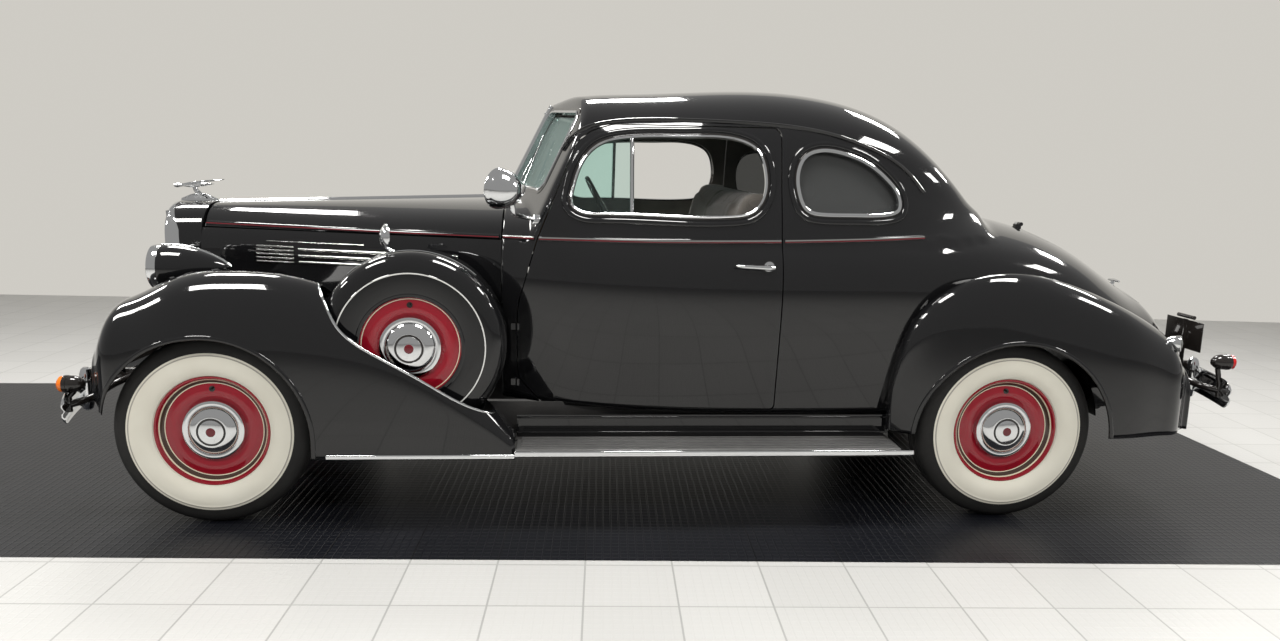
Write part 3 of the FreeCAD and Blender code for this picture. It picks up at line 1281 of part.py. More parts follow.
tank = tank.makeFillet(size.tankHeight / 5, [edge for edge in tank.Edges if edge.Length > size.tankHeight * 1.5
                                             and edge.CenterOfMass.z < tank_top - size.tankHeight / 2])
shaped("fuel_tank", tank)

# Floor pan: toe board, cabin floor, riser and luggage floor, trimmed to the body's inside
floor_z = size.railBottom + size.railHeight + size.seatGap
wall_inside = size.wallThickness + size.panelGap
cabin_void = tub_solid(wall_inside).fuse(cabin_solid(wall_inside, size.roofThickness + size.seatGap)
                                         .cut(screen_cutter(wall_inside)))
toe_x = cowl_line + wall_inside
riser_x = front_axle + size.rearSeatSetback
floor_line = [(toe_x, floor_z + size.dashHeight), (toe_x + size.dashHeight, floor_z), (riser_x, floor_z),
              (riser_x + size.floorThickness * 2, trunk_floor), (rear_axle + size.rearSeatDepth * 2, trunk_floor),
              (rear_face, trunk_floor - size.dashHeight / 2)]
floor_low = [Vector(x, -size.fenderHalfWidth, z) for x, z in floor_line]
floor_high = [Vector(x, -size.fenderHalfWidth, z + size.floorThickness) for x, z in reversed(floor_line)]
floor = Part.Face(Part.makePolygon(floor_low + floor_high + floor_low[:1])).extrude(Vector(0, 2 * size.fenderHalfWidth, 0))
house_clear = [cylinder(size.wheelhouseRadius + size.seatGap, (rear_axle, side * size.wheelhouseWall, axle_height),
                        (rear_axle, side * size.fenderHalfWidth, axle_height)) for side in both_sides]
tunnel_z = shaft_z + size.shaftRadius
tunnel_clear = cylinder(gearbox_radius + size.floorThickness, (cowl_line, 0, tunnel_z),
                        (gearbox_end + size.floorThickness, 0, tunnel_z))
tunnel = cylinder(gearbox_radius + size.floorThickness * 2, (cowl_line, 0, tunnel_z),
                  (gearbox_end + size.floorThickness * 2, 0, tunnel_z))
tunnel = tunnel.cut(box((-long_run, -long_run, 0), (long_run, long_run, floor_z)))
floor = floor.fuse(tunnel).cut(tunnel_clear).removeSplitter()
floor = floor.common(cabin_void).cut(house_clear)
floor = max(floor.Solids, key=lambda solid: solid.Volume)
shaped("floor_pan", floor)


def cushion(profile, half_width, rounding):
    """A cushion from its side-view corners, rounded along its long edges."""
    corners = [Vector(x, -half_width, z) for x, z in profile]
    wire = rounded_wire(corners, [rounding] * len(corners))
    return Part.Face(wire).extrude(Vector(0, 2 * half_width, 0))


# Front bench: a cushion on the floor and a raked back
seat_x0 = front_axle + size.seatSetback
seat_x1 = seat_x0 + size.seatDepth
seat_z0 = floor_z + size.floorThickness + size.seatGap
seat_top = seat_z0 + size.seatHeight
back_lean = size.seatBackThickness * 0.9
round_edge = size.seatBackThickness * 0.3
base = cushion([(seat_x0, seat_z0), (seat_x0 - size.seatDepth * 0.08, seat_top), (seat_x1, seat_top - round_edge),
                (seat_x1, seat_z0)], size.seatHalfWidth, round_edge)
back_foot = seat_x1 + size.seatGap
back = cushion([(back_foot, seat_z0), (back_foot, seat_z0 + size.seatHeight * 0.7),
                (seat_x1 + back_lean, seat_top + size.seatBackHeight * 0.82),
                (seat_x1 + back_lean + size.seatBackThickness, seat_top + size.seatBackHeight * 0.82),
                (back_foot + size.seatBackThickness, seat_z0 + size.seatHeight * 0.7),
                (back_foot + size.seatBackThickness, seat_z0)],
               size.seatHalfWidth, round_edge)
back = back.common(cabin_void)
shaped("front_seat", Part.makeCompound([base.common(cabin_void), back]))

# Rear bench and the shelf behind it
bench_x0 = riser_x + size.floorThickness * 3
bench_z0 = trunk_floor + size.floorThickness + size.seatGap
bench_half = size.wheelhouseWall - size.seatGap * 2
bench = cushion([(bench_x0, bench_z0), (bench_x0, bench_z0 + size.seatHeight * 0.5),
                 (bench_x0 + size.rearSeatDepth, bench_z0 + size.seatHeight * 0.42),
                 (bench_x0 + size.rearSeatDepth, bench_z0)], bench_half, round_edge * 0.8)
bench_back_x = bench_x0 + size.rearSeatDepth + size.seatGap
bench_back = cushion([(bench_back_x, bench_z0), (bench_back_x + size.seatBackThickness * 0.3, size.beltHeight),
                      (bench_back_x + size.seatBackThickness, size.beltHeight),
                      (bench_back_x + size.seatBackThickness, bench_z0)], bench_half, round_edge * 0.8)
shaped("rear_seat", Part.makeCompound([bench.common(cabin_void), bench_back.common(cabin_void)]))
shelf_x0 = bench_back_x + size.seatBackThickness + size.seatGap
bulkhead = box((shelf_x0, -size.fenderHalfWidth, bench_z0), (shelf_x0 + size.floorThickness, size.fenderHalfWidth,
                                                            size.beltHeight + size.floorThickness))
shelf = box((shelf_x0, -size.fenderHalfWidth, size.beltHeight),
            (shelf_x0 + size.rearSeatDepth, size.fenderHalfWidth, size.beltHeight + size.floorThickness))
shelf = fused([bulkhead, shelf]).common(cabin_void).cut(house_clear)
shaped("rear_shelf", max(shelf.Solids, key=lambda solid: solid.Volume))

# Dashboard, steering column and steering wheel
dash_x0 = front_axle + size.dashSetback
dash_top = size.sideWindowSill
dash = cushion([(dash_x0, dash_top - size.dashHeight), (dash_x0, dash_top), (dash_x0 + size.dashThickness, dash_top),
                (dash_x0 + size.dashThickness * 1.3, dash_top - size.dashHeight)], size.bodyHalfWidth,
               size.dashThickness / 4)
dash = dash.common(cabin_void).cut([on_side(door_prism(-size.panelGap), side) for side in both_sides])
dash = max(dash.Solids, key=lambda solid: solid.Volume)
tilt = math.radians(size.steeringTilt)
column_way = Vector(-math.cos(tilt), 0, -math.sin(tilt))
wheel_centre = Vector(front_axle + size.steeringSetback, -size.steeringOut, size.steeringHeight)
column_start = wheel_centre + column_way * (size.columnRadius * 1.5 + size.seatGap)
column_finish = wheel_centre + column_way * ((size.steeringHeight - front_rail_top) / math.sin(tilt))
column = Part.makeCylinder(size.columnRadius, (column_finish - column_start).Length, column_start, column_way)
column_clear = Part.makeCylinder(size.columnRadius + size.seatGap, (column_finish - column_start).Length,
                                 column_start, column_way)
steering_box = box((column_finish.x - size.columnRadius * 3, -size.steeringOut - size.columnRadius * 1.5,
                    front_rail_top + size.seatGap),
                   (column_finish.x + size.columnRadius * 3, -size.steeringOut + size.columnRadius * 1.5,
                    front_rail_top + size.columnRadius * 4))
column = fused([column, steering_box])
column = column.cut(box((-long_run, -long_run, 0), (long_run, 0, front_rail_top + size.seatGap)))
column = max(column.Solids, key=lambda solid: solid.Volume)
shaped("steering_column", column)
shaped("dashboard", dash.cut(column_clear))

# The body shell is notched over the frame rails and cut for the gearbox, the column and the bumper brackets
rail_notch = [box((cowl_line - size.panelGap, y - size.railWidth / 2 - size.seatGap, 0),
                  (cowl_line + size.wallThickness * 2, y + size.railWidth / 2 + size.seatGap, front_rail_top + size.seatGap))
              for y in (-size.frameOut, size.frameOut)]
bracket_slots = [box((rail_rear - size.cutOverrun, y - size.railWidth / 2 - size.panelGap, 0),
                     (rear_face, y + size.railWidth / 2 + size.panelGap,
                      front_rail_top + size.kickUp / 3 + size.panelGap)) for y in (-size.frameOut, size.frameOut)]
gearbox_hole = cylinder(gearbox_radius + size.floorThickness * 2 + size.seatGap, (cowl_line - size.panelGap, 0, tunnel_z),
                        (cowl_line + size.wallThickness * 2, 0, tunnel_z))
shell = shell.cut(rail_notch + bracket_slots + [gearbox_hole, column_clear])
shell = max(shell.Solids, key=lambda solid: solid.Volume)


def seam(low, high, along):
    """A thin slab where two body panels meet; along is the axis that it is thin in."""
    low = list(low)
    high = list(high)
    high[along] = low[along] + size.seatGap
    return box(low, high)


# The shell's panels meet at seams: roof, cowl, sills, quarters, back panel and tail
door_front = front_axle + size.doorSetback + size.panelGap
door_rear = front_axle + size.doorSetback + size.doorLength - size.panelGap
quarter_seam = front_axle + size.quarterSeamSetback
lid_front = front_axle + size.lidSetback - size.panelGap
lid_rear = lid_front + size.lidLength + 2 * size.panelGap
panel_seams = [
    seam((-long_run, -long_run, size.roofSeamHeight), (long_run, long_run, 0), 2),
    seam((door_front, -long_run, 0), (0, long_run, size.beltHeight / 2), 0),
    seam((door_rear, -long_run, 0), (0, long_run, size.beltHeight / 2), 0),
    seam((quarter_seam, -long_run, 0), (0, long_run, size.roofSeamHeight), 0),
    seam((quarter_seam, -size.deckSeamOut, 0), (long_run, 0, size.roofSeamHeight), 1),
    seam((quarter_seam, size.deckSeamOut, 0), (long_run, 0, size.roofSeamHeight), 1),
    seam((lid_front, -size.deckSeamOut, 0), (0, size.deckSeamOut, size.roofSeamHeight), 0),
    seam((lid_rear, -size.deckSeamOut, 0), (0, size.deckSeamOut, size.roofSeamHeight), 0),
]
panels = [solid for solid in shell.cut(panel_seams).Solids if solid.Volume > size.wallThickness ** 3]
shaped("body_shell", Part.makeCompound(panels))
print("body panels", [round(solid.Volume / 1e6, 2) for solid in panels])

rim = doc.addObject("Part::Torus", "steeringRim")
rim.setExpression("Radius1", bound("steeringRadius - steeringGrip"))
rim.setExpression("Radius2", bound("steeringGrip"))
hub = doc.addObject("Part::Cylinder", "steeringHub")
hub.setExpression("Radius", bound("columnRadius * 1.3"))
hub.setExpression("Height", bound("columnRadius * 2.5"))
hub.setExpression("Placement.Base.z", bound("-columnRadius * 1.5"))
spokes = []
for number in range(3):
    spoke = doc.addObject("Part::Cylinder", f"steeringSpoke{number}")
    spoke.setExpression("Radius", bound("steeringGrip * 0.6"))
    spoke.setExpression("Height", bound("steeringRadius - steeringGrip"))
    spoke.Placement = Placement(Vector(0, 0, 0), Rotation(Vector(0, 0, 1), 120.0 * number)
                                * Rotation(Vector(0, 1, 0), 90.0))
    spokes.append(spoke)
steering = doc.addObject("Part::MultiFuse", "steering_wheel")
steering.Shapes = [rim, hub] + spokes
place(steering, (front_axle_text + " + steeringSetback", "-steeringOut", "steeringHeight"), (0, 1, 0),
      90.0 - size.steeringTilt)
keep(steering, "steering_wheel")

# Hood ornament: a plain winged dart on a pedestal
ornament_x = front_axle + size.shellSetback + size.grilleInset / 2
ornament_z = size.shellTop + size.seatGap
wing_rise = size.ornamentHeight
dart = [Vector(ornament_x, 0, ornament_z + wing_rise * 0.55),
        Vector(ornament_x + size.ornamentLength * 0.12, 0, ornament_z + wing_rise * 0.75),
        Vector(ornament_x + size.ornamentLength, 0, ornament_z + wing_rise * 0.95),
        Vector(ornament_x + size.ornamentLength * 0.55, 0, ornament_z + wing_rise * 0.55)]
dart = Part.Face(Part.makePolygon(dart + dart[:1])).extrude(Vector(0, wing_rise * 0.12, 0))
dart.translate(Vector(0, -wing_rise * 0.06, 0))
wings = [Vector(ornament_x + size.ornamentLength * 0.15, 0, 0),
         Vector(ornament_x + size.ornamentLength * 0.80, -wing_rise * 0.85, 0),
         Vector(ornament_x + size.ornamentLength * 0.60, 0, 0),
         Vector(ornament_x + size.ornamentLength * 0.80, wing_rise * 0.85, 0)]
wings = Part.Face(Part.makePolygon(wings + wings[:1])).extrude(Vector(0, 0, wing_rise * 0.10))
wings.translate(Vector(0, 0, ornament_z + wing_rise * 0.58))
post = Part.makeCone(wing_rise * 0.28, wing_rise * 0.12, wing_rise * 0.80,
                     Vector(ornament_x + size.ornamentLength * 0.3, 0, ornament_z - wing_rise * 0.1))
ornament = fused([dart, wings, post]).cut([shell_solid(0.0, shell_x0, shell_x1), hood_top(-size.panelGap / 2)])
shaped("hood_ornament", max(ornament.Solids, key=lambda solid: solid.Volume))

# Interior mirror hangs from the windshield header, and the deck handle stands on the lid
handle_x = front_axle + size.lidSetback + size.lidLength * 0.86
handle = cylinder(size.hingeRadius, (handle_x - size.guardWidth, 0, top_at(body_outer, handle_x - size.guardWidth, 0.0)
                                     + size.hingeRadius * 0.6),
                  (handle_x + size.guardWidth, 0, top_at(body_outer, handle_x + size.guardWidth, 0.0)
                   + size.hingeRadius * 0.6)).cut(body_outer)
shaped("lid_handle", max(handle.Solids, key=lambda solid: solid.Volume))

# Door handles: a horizontal lever on a round foot near the rear edge
handle_rear = front_axle + size.doorSetback + size.doorLength - size.doorHandleInset
handle_front = handle_rear - size.doorHandleLength
handle_out = skin_at(body_outer, handle_rear, size.doorHandleHeight) + size.hingeRadius * 1.8
grip = cylinder(size.hingeRadius * 0.8, (handle_front, -handle_out, size.doorHandleHeight),
                (handle_rear, -handle_out, size.doorHandleHeight))
foot = cylinder(size.hingeRadius * 1.2, (handle_rear - size.hingeRadius * 1.5, -handle_out, size.doorHandleHeight),
                (handle_rear - size.hingeRadius * 1.5, 0, size.doorHandleHeight))
handle = max(fused([grip, foot]).cut(body_outer).Solids, key=lambda solid: -solid.BoundBox.YMax)
for side in both_sides:
    shaped(f"door_handle_{side_names[side]}", on_side(handle, side))

# Wheels, tyres and hubcaps at the four corners
tyre_profile = [
    ("-treadHalfWidth", "tyreRadius"),
    ("treadHalfWidth", "tyreRadius"),
    ("tyreHalfWidth", "tyreRadius * 0.89"),
    ("tyreHalfWidth * 0.94", "tyreRadius * 0.78"),
    ("tyreHalfWidth * 0.60", "rimRadius + seatGap"),
    ("-tyreHalfWidth * 0.60", "rimRadius + seatGap"),
    ("-tyreHalfWidth", "tyreRadius * 0.86"),
]
wheel_profile = [
    ("-drumDepth", "hubBore"),
    ("-drumDepth", "drumRadius"),
    ("discOffset * 0.2", "drumRadius"),
    ("discOffset * 0.5", "rimWellRadius"),
    ("-rimHalfWidth", "rimWellRadius"),
    ("-rimHalfWidth", "rimRadius"),
    ("rimHalfWidth", "rimRadius"),
    ("rimHalfWidth", "rimWellRadius"),
    ("discOffset", "rimWellRadius"),
    ("discOffset * 1.35", "hubcapRadius * 1.03"),
    ("discOffset * 1.35", "hubcapRadius"),
    ("discOffset * 1.35 + hubcapDepth * 0.42", "hubcapRadius * 0.86"),
    ("discOffset * 1.35 + hubcapDepth * 0.75", "hubcapRadius * 0.52"),
    ("discOffset * 1.35 + hubcapDepth * 0.95", "hubcapRadius * 0.40"),
    ("discOffset * 1.35 + hubcapDepth", "0"),
    ("hubNose * 0.85", "0"),
    ("hubNose * 0.85", "hubBore"),
]
corner_places = {"front": (front_axle_text, "frontTrack"), "rear": (front_axle_text + " + wheelbase", "rearTrack")}
for end, (along_text, track) in corner_places.items():
    for side in both_sides:
        centre = (along_text, f"{track} / 2 * {side}", "tyreRadius")
        for piece, profile in (("tyre", tyre_profile), ("wheel", wheel_profile)):
            node = f"{piece}_{end}_{side_names[side]}"
            keep(facing(turned(node.replace("_", ""), profile), centre, side), node)

# Every object has to be sound before the sub-parts are written
doc.recompute()
for item in doc.Objects:
    if "Invalid" in item.State or "Error" in item.State:
        raise RuntimeError(f"{item.Label} failed: {item.State}")
os.makedirs("parts", exist_ok=True)
for part in sub_parts:
    if part.Shape.isNull() or not part.Shape.isValid():
        raise RuntimeError(f"{part.Label} has no sound shape")
    part.Shape.exportStep(f"parts/{part.Label}.step")
print(f"{len(sub_parts)} sub-parts")
for label, point in (("door hinge", (hinge_x, -hinge_out, hinge_z[0])), ("lid hinge", (lid_hinge_x, 0, lid_hinge_z)),
                     ("hood rod start", rod_start), ("hood rod finish", rod_finish), ("steering", wheel_centre),
                     ("axles", (front_axle, rear_axle, axle_height))):
    print(label, [round(value, 2) for value in point])
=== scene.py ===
import math
import bmesh
import bpy
import numpy as np
from mathutils import Matrix, Vector
from mathutils.bvhtree import BVHTree


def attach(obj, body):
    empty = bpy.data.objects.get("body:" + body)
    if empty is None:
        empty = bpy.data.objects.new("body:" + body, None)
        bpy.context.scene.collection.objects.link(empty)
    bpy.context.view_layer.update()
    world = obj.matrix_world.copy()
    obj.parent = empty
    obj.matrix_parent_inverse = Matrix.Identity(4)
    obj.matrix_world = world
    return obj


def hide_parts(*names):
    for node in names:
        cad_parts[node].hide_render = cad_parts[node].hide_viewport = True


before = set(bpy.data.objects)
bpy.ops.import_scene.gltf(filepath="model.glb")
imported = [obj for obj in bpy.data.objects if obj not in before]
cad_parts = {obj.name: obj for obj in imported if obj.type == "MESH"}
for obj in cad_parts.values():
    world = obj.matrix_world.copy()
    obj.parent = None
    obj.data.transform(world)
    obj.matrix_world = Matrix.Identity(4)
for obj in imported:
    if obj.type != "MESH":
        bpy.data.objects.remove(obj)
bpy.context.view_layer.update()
scene = bpy.context.scene
scene.view_settings.view_transform = "Standard"
carBody = "car_body"
forward, upward, acrossLeft = (1, 0, 0), (0, 0, 1), (0, -1, 0)
for node in bpy.context.selected_objects:
    node.select_set(False)
# Places along the car are in metres in the row's frame, with the front axle at -1.835


def mm(*rows):
    # Rows of lengths in millimetres, taken to metres
    return [tuple(value / 1000 for value in row) for row in rows]


def cubic(xs, ys):
    # A natural cubic spline through values at given places
    xs = np.asarray(xs, float)
    ys = np.asarray(ys, float).reshape(len(xs), -1)
    count = len(xs)
    step = np.diff(xs)
    left = np.zeros((count, count))
    right = np.zeros((count, ys.shape[1]))
    left[0, 0] = left[-1, -1] = 1
    for i in range(1, count - 1):
        left[i, i - 1], left[i, i], left[i, i + 1] = step[i - 1], 2 * (step[i - 1] + step[i]), step[i]
        right[i] = 6 * ((ys[i + 1] - ys[i]) / step[i] - (ys[i] - ys[i - 1]) / step[i - 1])
    bend = np.linalg.solve(left, right)

    def at(x):
        x = np.atleast_1d(np.asarray(x, float))
        i = np.clip(np.searchsorted(xs, x) - 1, 0, count - 2)
        h = step[i][:, None]
        t = (x - xs[i])[:, None]
        u = h - t
        return (bend[i] * u ** 3 + bend[i + 1] * t ** 3) / (6 * h) + (ys[i] / h - bend[i] * h / 6) * u \
            + (ys[i + 1] / h - bend[i + 1] * h / 6) * t
    return at


def lengthsAlong(points):
    return np.concatenate([[0], np.cumsum(np.linalg.norm(np.diff(points, axis=0), axis=1))])


def throughPoints(points, count):
    # A smooth curve through points, sampled evenly along their chords
    along = lengthsAlong(points)
    return cubic(along, points)(np.linspace(0, along[-1], count))


def evenly(points, step, closed=False):
    # The same path with its points a fixed step apart
    points = np.asarray(points, float)
    if closed:
        points = np.vstack([points, points[:1]])
    along = lengthsAlong(points)
    places = np.linspace(0, along[-1], max(int(round(along[-1] / step)), 4) + 1)
    out = np.column_stack([np.interp(places, along, column) for column in points.T])
    return out[:-1] if closed else out


def roundedPath(corners, radii, steps=8):
    # A closed outline with an arc at each corner
    corners = [Vector(c) for c in corners]
    out = []
    for i, corner in enumerate(corners):
        into = (corners[i - 1] - corner).normalized()
        away = (corners[(i + 1) % len(corners)] - corner).normalized()
        half = into.angle(away) / 2
        reach = radii[i] / math.tan(half)
        centre = corner + (into + away).normalized() * (radii[i] / math.sin(half))
        start = corner + into * reach - centre
        finish = corner + away * reach - centre
        sweep = max(start.angle(finish), 1e-4)
        for t in (k / steps for k in range(steps + 1)):
            mix = (start * math.sin((1 - t) * sweep) + finish * math.sin(t * sweep)) / math.sin(sweep)
            out.append(tuple(centre + mix))
    return np.array(out)


def smoothMax(a, b, reach):
    h = np.clip(0.5 + 0.5 * (a - b) / reach, 0, 1)
    return a * h + b * (1 - h) + reach * h * (1 - h)


def unit(rows):
    return rows / np.linalg.norm(rows, axis=1)[:, None]


def readRows(data, label):
    # Three numbers for each item of mesh data
    out = np.zeros(len(data) * 3)
    data.foreach_get(label, out)
    return out.reshape(-1, 3)


def alone(obj):
    for other in bpy.context.selected_objects:
        other.select_set(False)
    bpy.context.view_layer.objects.active = obj
    obj.select_set(True)
    return obj


def linked(name, mesh):
    obj = bpy.data.objects.new(name, mesh)
    scene.collection.objects.link(obj)
    return obj


def makeObject(name, verts, faces, smooth=True):
    mesh = bpy.data.meshes.new(name)
    mesh.from_pydata([tuple(map(float, v)) for v in verts], [], [tuple(map(int, f)) for f in faces])
    mesh.validate()
    obj = linked(name, mesh)
    mesh.polygons.foreach_set("use_smooth", [smooth] * len(mesh.polygons))
    mesh.update()
    return obj


def gridFaces(rows, cols, closeRows=False, closeCols=False, capped=False):
    # The faces between rows of points, with the first and last row closed if capped
    faces = []
    for i in range(rows if closeRows else rows - 1):
        for j in range(cols if closeCols else cols - 1):
            i1, j1 = (i + 1) % rows, (j + 1) % cols
            faces.append((i * cols + j, i1 * cols + j, i1 * cols + j1, i * cols + j1))
    if capped:
        faces += [tuple(range(cols)), tuple(range(rows * cols - 1, (rows - 1) * cols - 1, -1))]
    return faces


def gridObject(name, grid, closeCols=False):
    grid = np.asarray(grid, float)
    return makeObject(name, grid.reshape(-1, 3), gridFaces(*grid.shape[:2], closeCols=closeCols))


def edited(obj, *steps):
    # Edit mode steps, the first of them with everything selected
    alone(obj)
    bpy.ops.object.mode_set(mode="EDIT")
    bpy.ops.mesh.select_all(action="SELECT")
    for step in steps:
        step()
    bpy.ops.object.mode_set(mode="OBJECT")
    return obj


def outward(obj):
    return edited(obj, lambda: bpy.ops.mesh.normals_make_consistent(inside=False))


def flipped(obj):
    return edited(obj, bpy.ops.mesh.flip_normals)


def sharpen(obj, degrees):
    alone(obj)
    bpy.ops.object.shade_smooth_by_angle(angle=math.radians(degrees))
    return obj


def applied(obj):
    alone(obj)
    for mod in list(obj.modifiers):
        bpy.ops.object.modifier_apply(modifier=mod.name)
    return obj


def modified(obj, kind, **settings):
    # One modifier, set up and applied
    mod = obj.modifiers.new(kind.lower(), kind)
    for label, value in settings.items():
        setattr(mod, label, value)
    return applied(obj)


def bevelled(obj, width):
    return modified(obj, "BEVEL", width=width, segments=2, limit_method="ANGLE", angle_limit=math.radians(35))


def thickened(obj, thickness):
    # Wall thickness is added inwards, away from where the faces point
    return modified(obj, "SOLIDIFY", thickness=thickness, offset=-1)


def joined(name, objects):
    alone(objects[0])
    for obj in objects[1:]:
        obj.select_set(True)
    bpy.ops.object.join()
    objects[0].name = name
    return objects[0]


def copied(obj, name):
    twin = obj.copy()
    twin.data = obj.data.copy()
    twin.name = name
    scene.collection.objects.link(twin)
    return twin


def mirrored(obj, name):
    # The same piece on the other side of the car, with the same normals
    source = obj.data
    normals = readRows(source.corner_normals, "vector")
    coords = readRows(source.vertices, "co") * (1, -1, 1)
    mesh = bpy.data.meshes.new(name)
    mesh.from_pydata(coords.tolist(), [], [list(p.vertices)[::-1] for p in source.polygons])
    mesh.polygons.foreach_set("material_index", [p.material_index for p in source.polygons])
    mesh.polygons.foreach_set("use_smooth", [p.use_smooth for p in source.polygons])
    for mat in source.materials:
        mesh.materials.append(mat)
    order = [k for p in source.polygons for k in list(p.loop_indices)[::-1]]
    mesh.normals_split_custom_set((normals[order] * (1, -1, 1)).tolist())
    return linked(name, mesh)


def bothSides(name, piece):
    return joined(name, [piece, mirrored(piece, name + "Right")])


def cutWith(obj, *cutters, kind="DIFFERENCE"):
    # One boolean with all cutters, which are then gone
    cutter = joined("cutter", cutters) if len(cutters) > 1 else cutters[0]
    before = len(obj.data.polygons)
    modified(obj, "BOOLEAN", object=cutter, operation=kind, solver="MANIFOLD")
    print("boolean", obj.name, before, "->", len(obj.data.polygons))
    bpy.data.objects.remove(cutter)
    return obj


def between(name, first, second):
    # A closed solid between two like outlines
    count = len(first)
    faces = [tuple(range(count)), tuple(range(2 * count - 1, count - 1, -1))]
    faces += [(i, i + count, (i + 1) % count + count, (i + 1) % count) for i in range(count)]
    return outward(makeObject(name, [*first, *second], faces, False))


def prism(name, outline, low, high):
    # A closed solid across the car from an outline of (x, z) pairs
    return between(name, *([(x, y, z) for x, z in outline] for y in (low, high)))


def tube(name, path, radius, segments=16):
    # A round bar along a path
    path = np.asarray(path, float)
    count = len(path)
    tangents = unit(np.gradient(path, axis=0))
    side = np.cross(tangents[0], (0.13, 0.2, 1))
    verts = []
    for point, tangent, r in zip(path, tangents, radius if np.ndim(radius) else [radius] * count):
        side = side - tangent * np.dot(side, tangent)
        side /= np.linalg.norm(side)
        up = np.cross(tangent, side)
        for a in (2 * math.pi * k / segments for k in range(segments)):
            verts.append(point + (side * math.cos(a) + up * math.sin(a)) * r)
    return sharpen(outward(makeObject(name, verts, gridFaces(count, segments, closeCols=True, capped=True))), 40)


def spun(name, profile, centre, axis=(0, 1, 0), segments=96, degrees=32, closed=False):
    # A profile of (along, radius) pairs drawn in edit mode and spun about its axis
    axis = Vector(axis).normalized()
    side = axis.orthogonal().normalized()
    centre = Vector(centre)
    verts = [tuple(centre + axis * along + side * radius) for along, radius in profile]
    edges = [(i, i + 1) for i in range(len(verts) - 1)] + ([(len(verts) - 1, 0)] if closed else [])
    mesh = bpy.data.meshes.new(name)
    mesh.from_pydata(verts, edges, [])
    everything = {"action": "SELECT"}
    obj = edited(linked(name, mesh),
                 lambda: bpy.ops.mesh.spin(steps=segments, angle=2 * math.pi, center=centre, axis=axis),
                 lambda: bpy.ops.mesh.select_all(**everything),
                 lambda: bpy.ops.mesh.remove_doubles(threshold=0.00002),
                 lambda: bpy.ops.mesh.dissolve_degenerate(threshold=0.00001),
                 lambda: bpy.ops.mesh.select_all(**everything),
                 lambda: bpy.ops.mesh.normals_make_consistent(inside=False))
    return sharpen(obj, degrees)


def strip(name, path, normals, profile, closed=False):
    # A moulding laid along a path on a skin: profile points are (across, out)
    path = np.asarray(path, float)
    normals = np.asarray(normals, float)
    tangents = np.roll(path, -1, axis=0) - np.roll(path, 1, axis=0) if closed else np.gradient(path, axis=0)
    across = unit(np.cross(normals, unit(tangents)))
    verts = [point + side * u + out * v for point, side, out in zip(path, across, normals) for u, v in profile]
    faces = gridFaces(len(path), len(profile), closeRows=closed, closeCols=True, capped=not closed)
    return sharpen(outward(makeObject(name, verts, faces)), 50)


def bead(width, height, count, sink):
    # The section of a low rounded moulding that stands proud of the skin
    arc = [(-math.cos(a) * width / 2, math.sin(a) * height) for a in np.linspace(0, math.pi, count)]
    return [(-width / 2, -sink)] + arc + [(width / 2, -sink)]


def treeOf(obj):
    bm = bmesh.new()
    bm.from_mesh(obj.data)
    tree = BVHTree.FromBMesh(bm)
    bm.free()
    return tree


def onSkin(tree, outline, closed=False):
    # Places and outward normals on a skin, seen straight from the left, for (x, z) pairs
    places, normals = [], []
    for x, z in outline:
        spot, normal = tree.ray_cast(Vector((x, -3, z)), Vector((0, 1, 0)))[:2]
        if spot is None:
            continue
        places.append(tuple(spot))
        normals.append(tuple(normal if normal.y < 0 else -normal))
    normals = np.array(normals)
    for _ in range(3):
        longer = np.vstack([normals[-1:], normals, normals[:1]] if closed else [normals[:1], normals, normals[-1:]])
        normals = (longer[:-2] + longer[1:-1] + longer[2:]) / 3
    return np.array(places), unit(normals)


def skinStrip(name, tree, outline, profile, closed=False):
    return strip(name, *onSkin(tree, outline, closed), profile, closed)


def smoothFrom(obj, source):
    # A cut piece takes the smooth normals of the uncut skin, and its cut edges stay flat
    mesh = obj.data
    mesh.polygons.foreach_set("use_smooth", [True] * len(mesh.polygons))
    modified(obj, "DATA_TRANSFER", object=source, use_loop_data=True, data_types_loops={"CUSTOM_NORMAL"},
             loop_mapping="POLYINTERP_NEAREST")
    mesh = obj.data
    taken = readRows(mesh.corner_normals, "vector")
    out = taken.copy()
    for p in mesh.polygons:
        loops = list(p.loop_indices)
        if float(np.dot(taken[loops].mean(axis=0), p.normal)) < 0.7:
            out[loops] = np.array(p.normal)
    mesh.normals_split_custom_set(out.tolist())
    return obj


def settle(obj, body, material, node=None):
    # Materials, the body that the piece rides on and the node that it replaces
    mesh = obj.data
    kept = [p.material_index for p in mesh.polygons]
    mesh.materials.clear()
    for item in (material if isinstance(material, list) else [material]):
        mesh.materials.append(item)
    mesh.polygons.foreach_set("material_index", kept)
    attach(obj, body)
    if node:
        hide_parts(node)
    return obj


def pairOf(piece, body, material, node=None, otherBody=None):
    # The same piece on both sides: one object on one body, or one for each body
    if otherBody:
        twin = mirrored(piece, piece.name + "Right")
        settle(piece, body, material)
        settle(twin, otherBody, material)
        return piece
    return settle(bothSides(piece.name, piece), body, material, node)


def painted(piece, body, node=None, other=None):
    return pairOf(piece, body, blackPaint, node, other)


def bright(piece, body, node=None, other=None):
    return pairOf(piece, body, chrome, node, other)


def slotByPlace(obj, rule):
    # Each face takes the material that the rule gives for its middle and normal
    obj.data.polygons.foreach_set("material_index", [rule(p.center, p.normal) for p in obj.data.polygons])
    return obj


def boxAt(name, low, high, edge=0):
    low, high = Vector(low), Vector(high)
    bpy.ops.mesh.primitive_cube_add(size=1, location=(low + high) / 2, scale=high - low)
    obj = bpy.context.active_object
    obj.name = name
    bpy.ops.object.transform_apply(location=True, rotation=True, scale=True)
    return sharpen(bevelled(obj, edge), 50) if edge else obj


print("tools ready")


def pick(sockets, label):
    return sockets[int(label) if label.isdigit() else label]


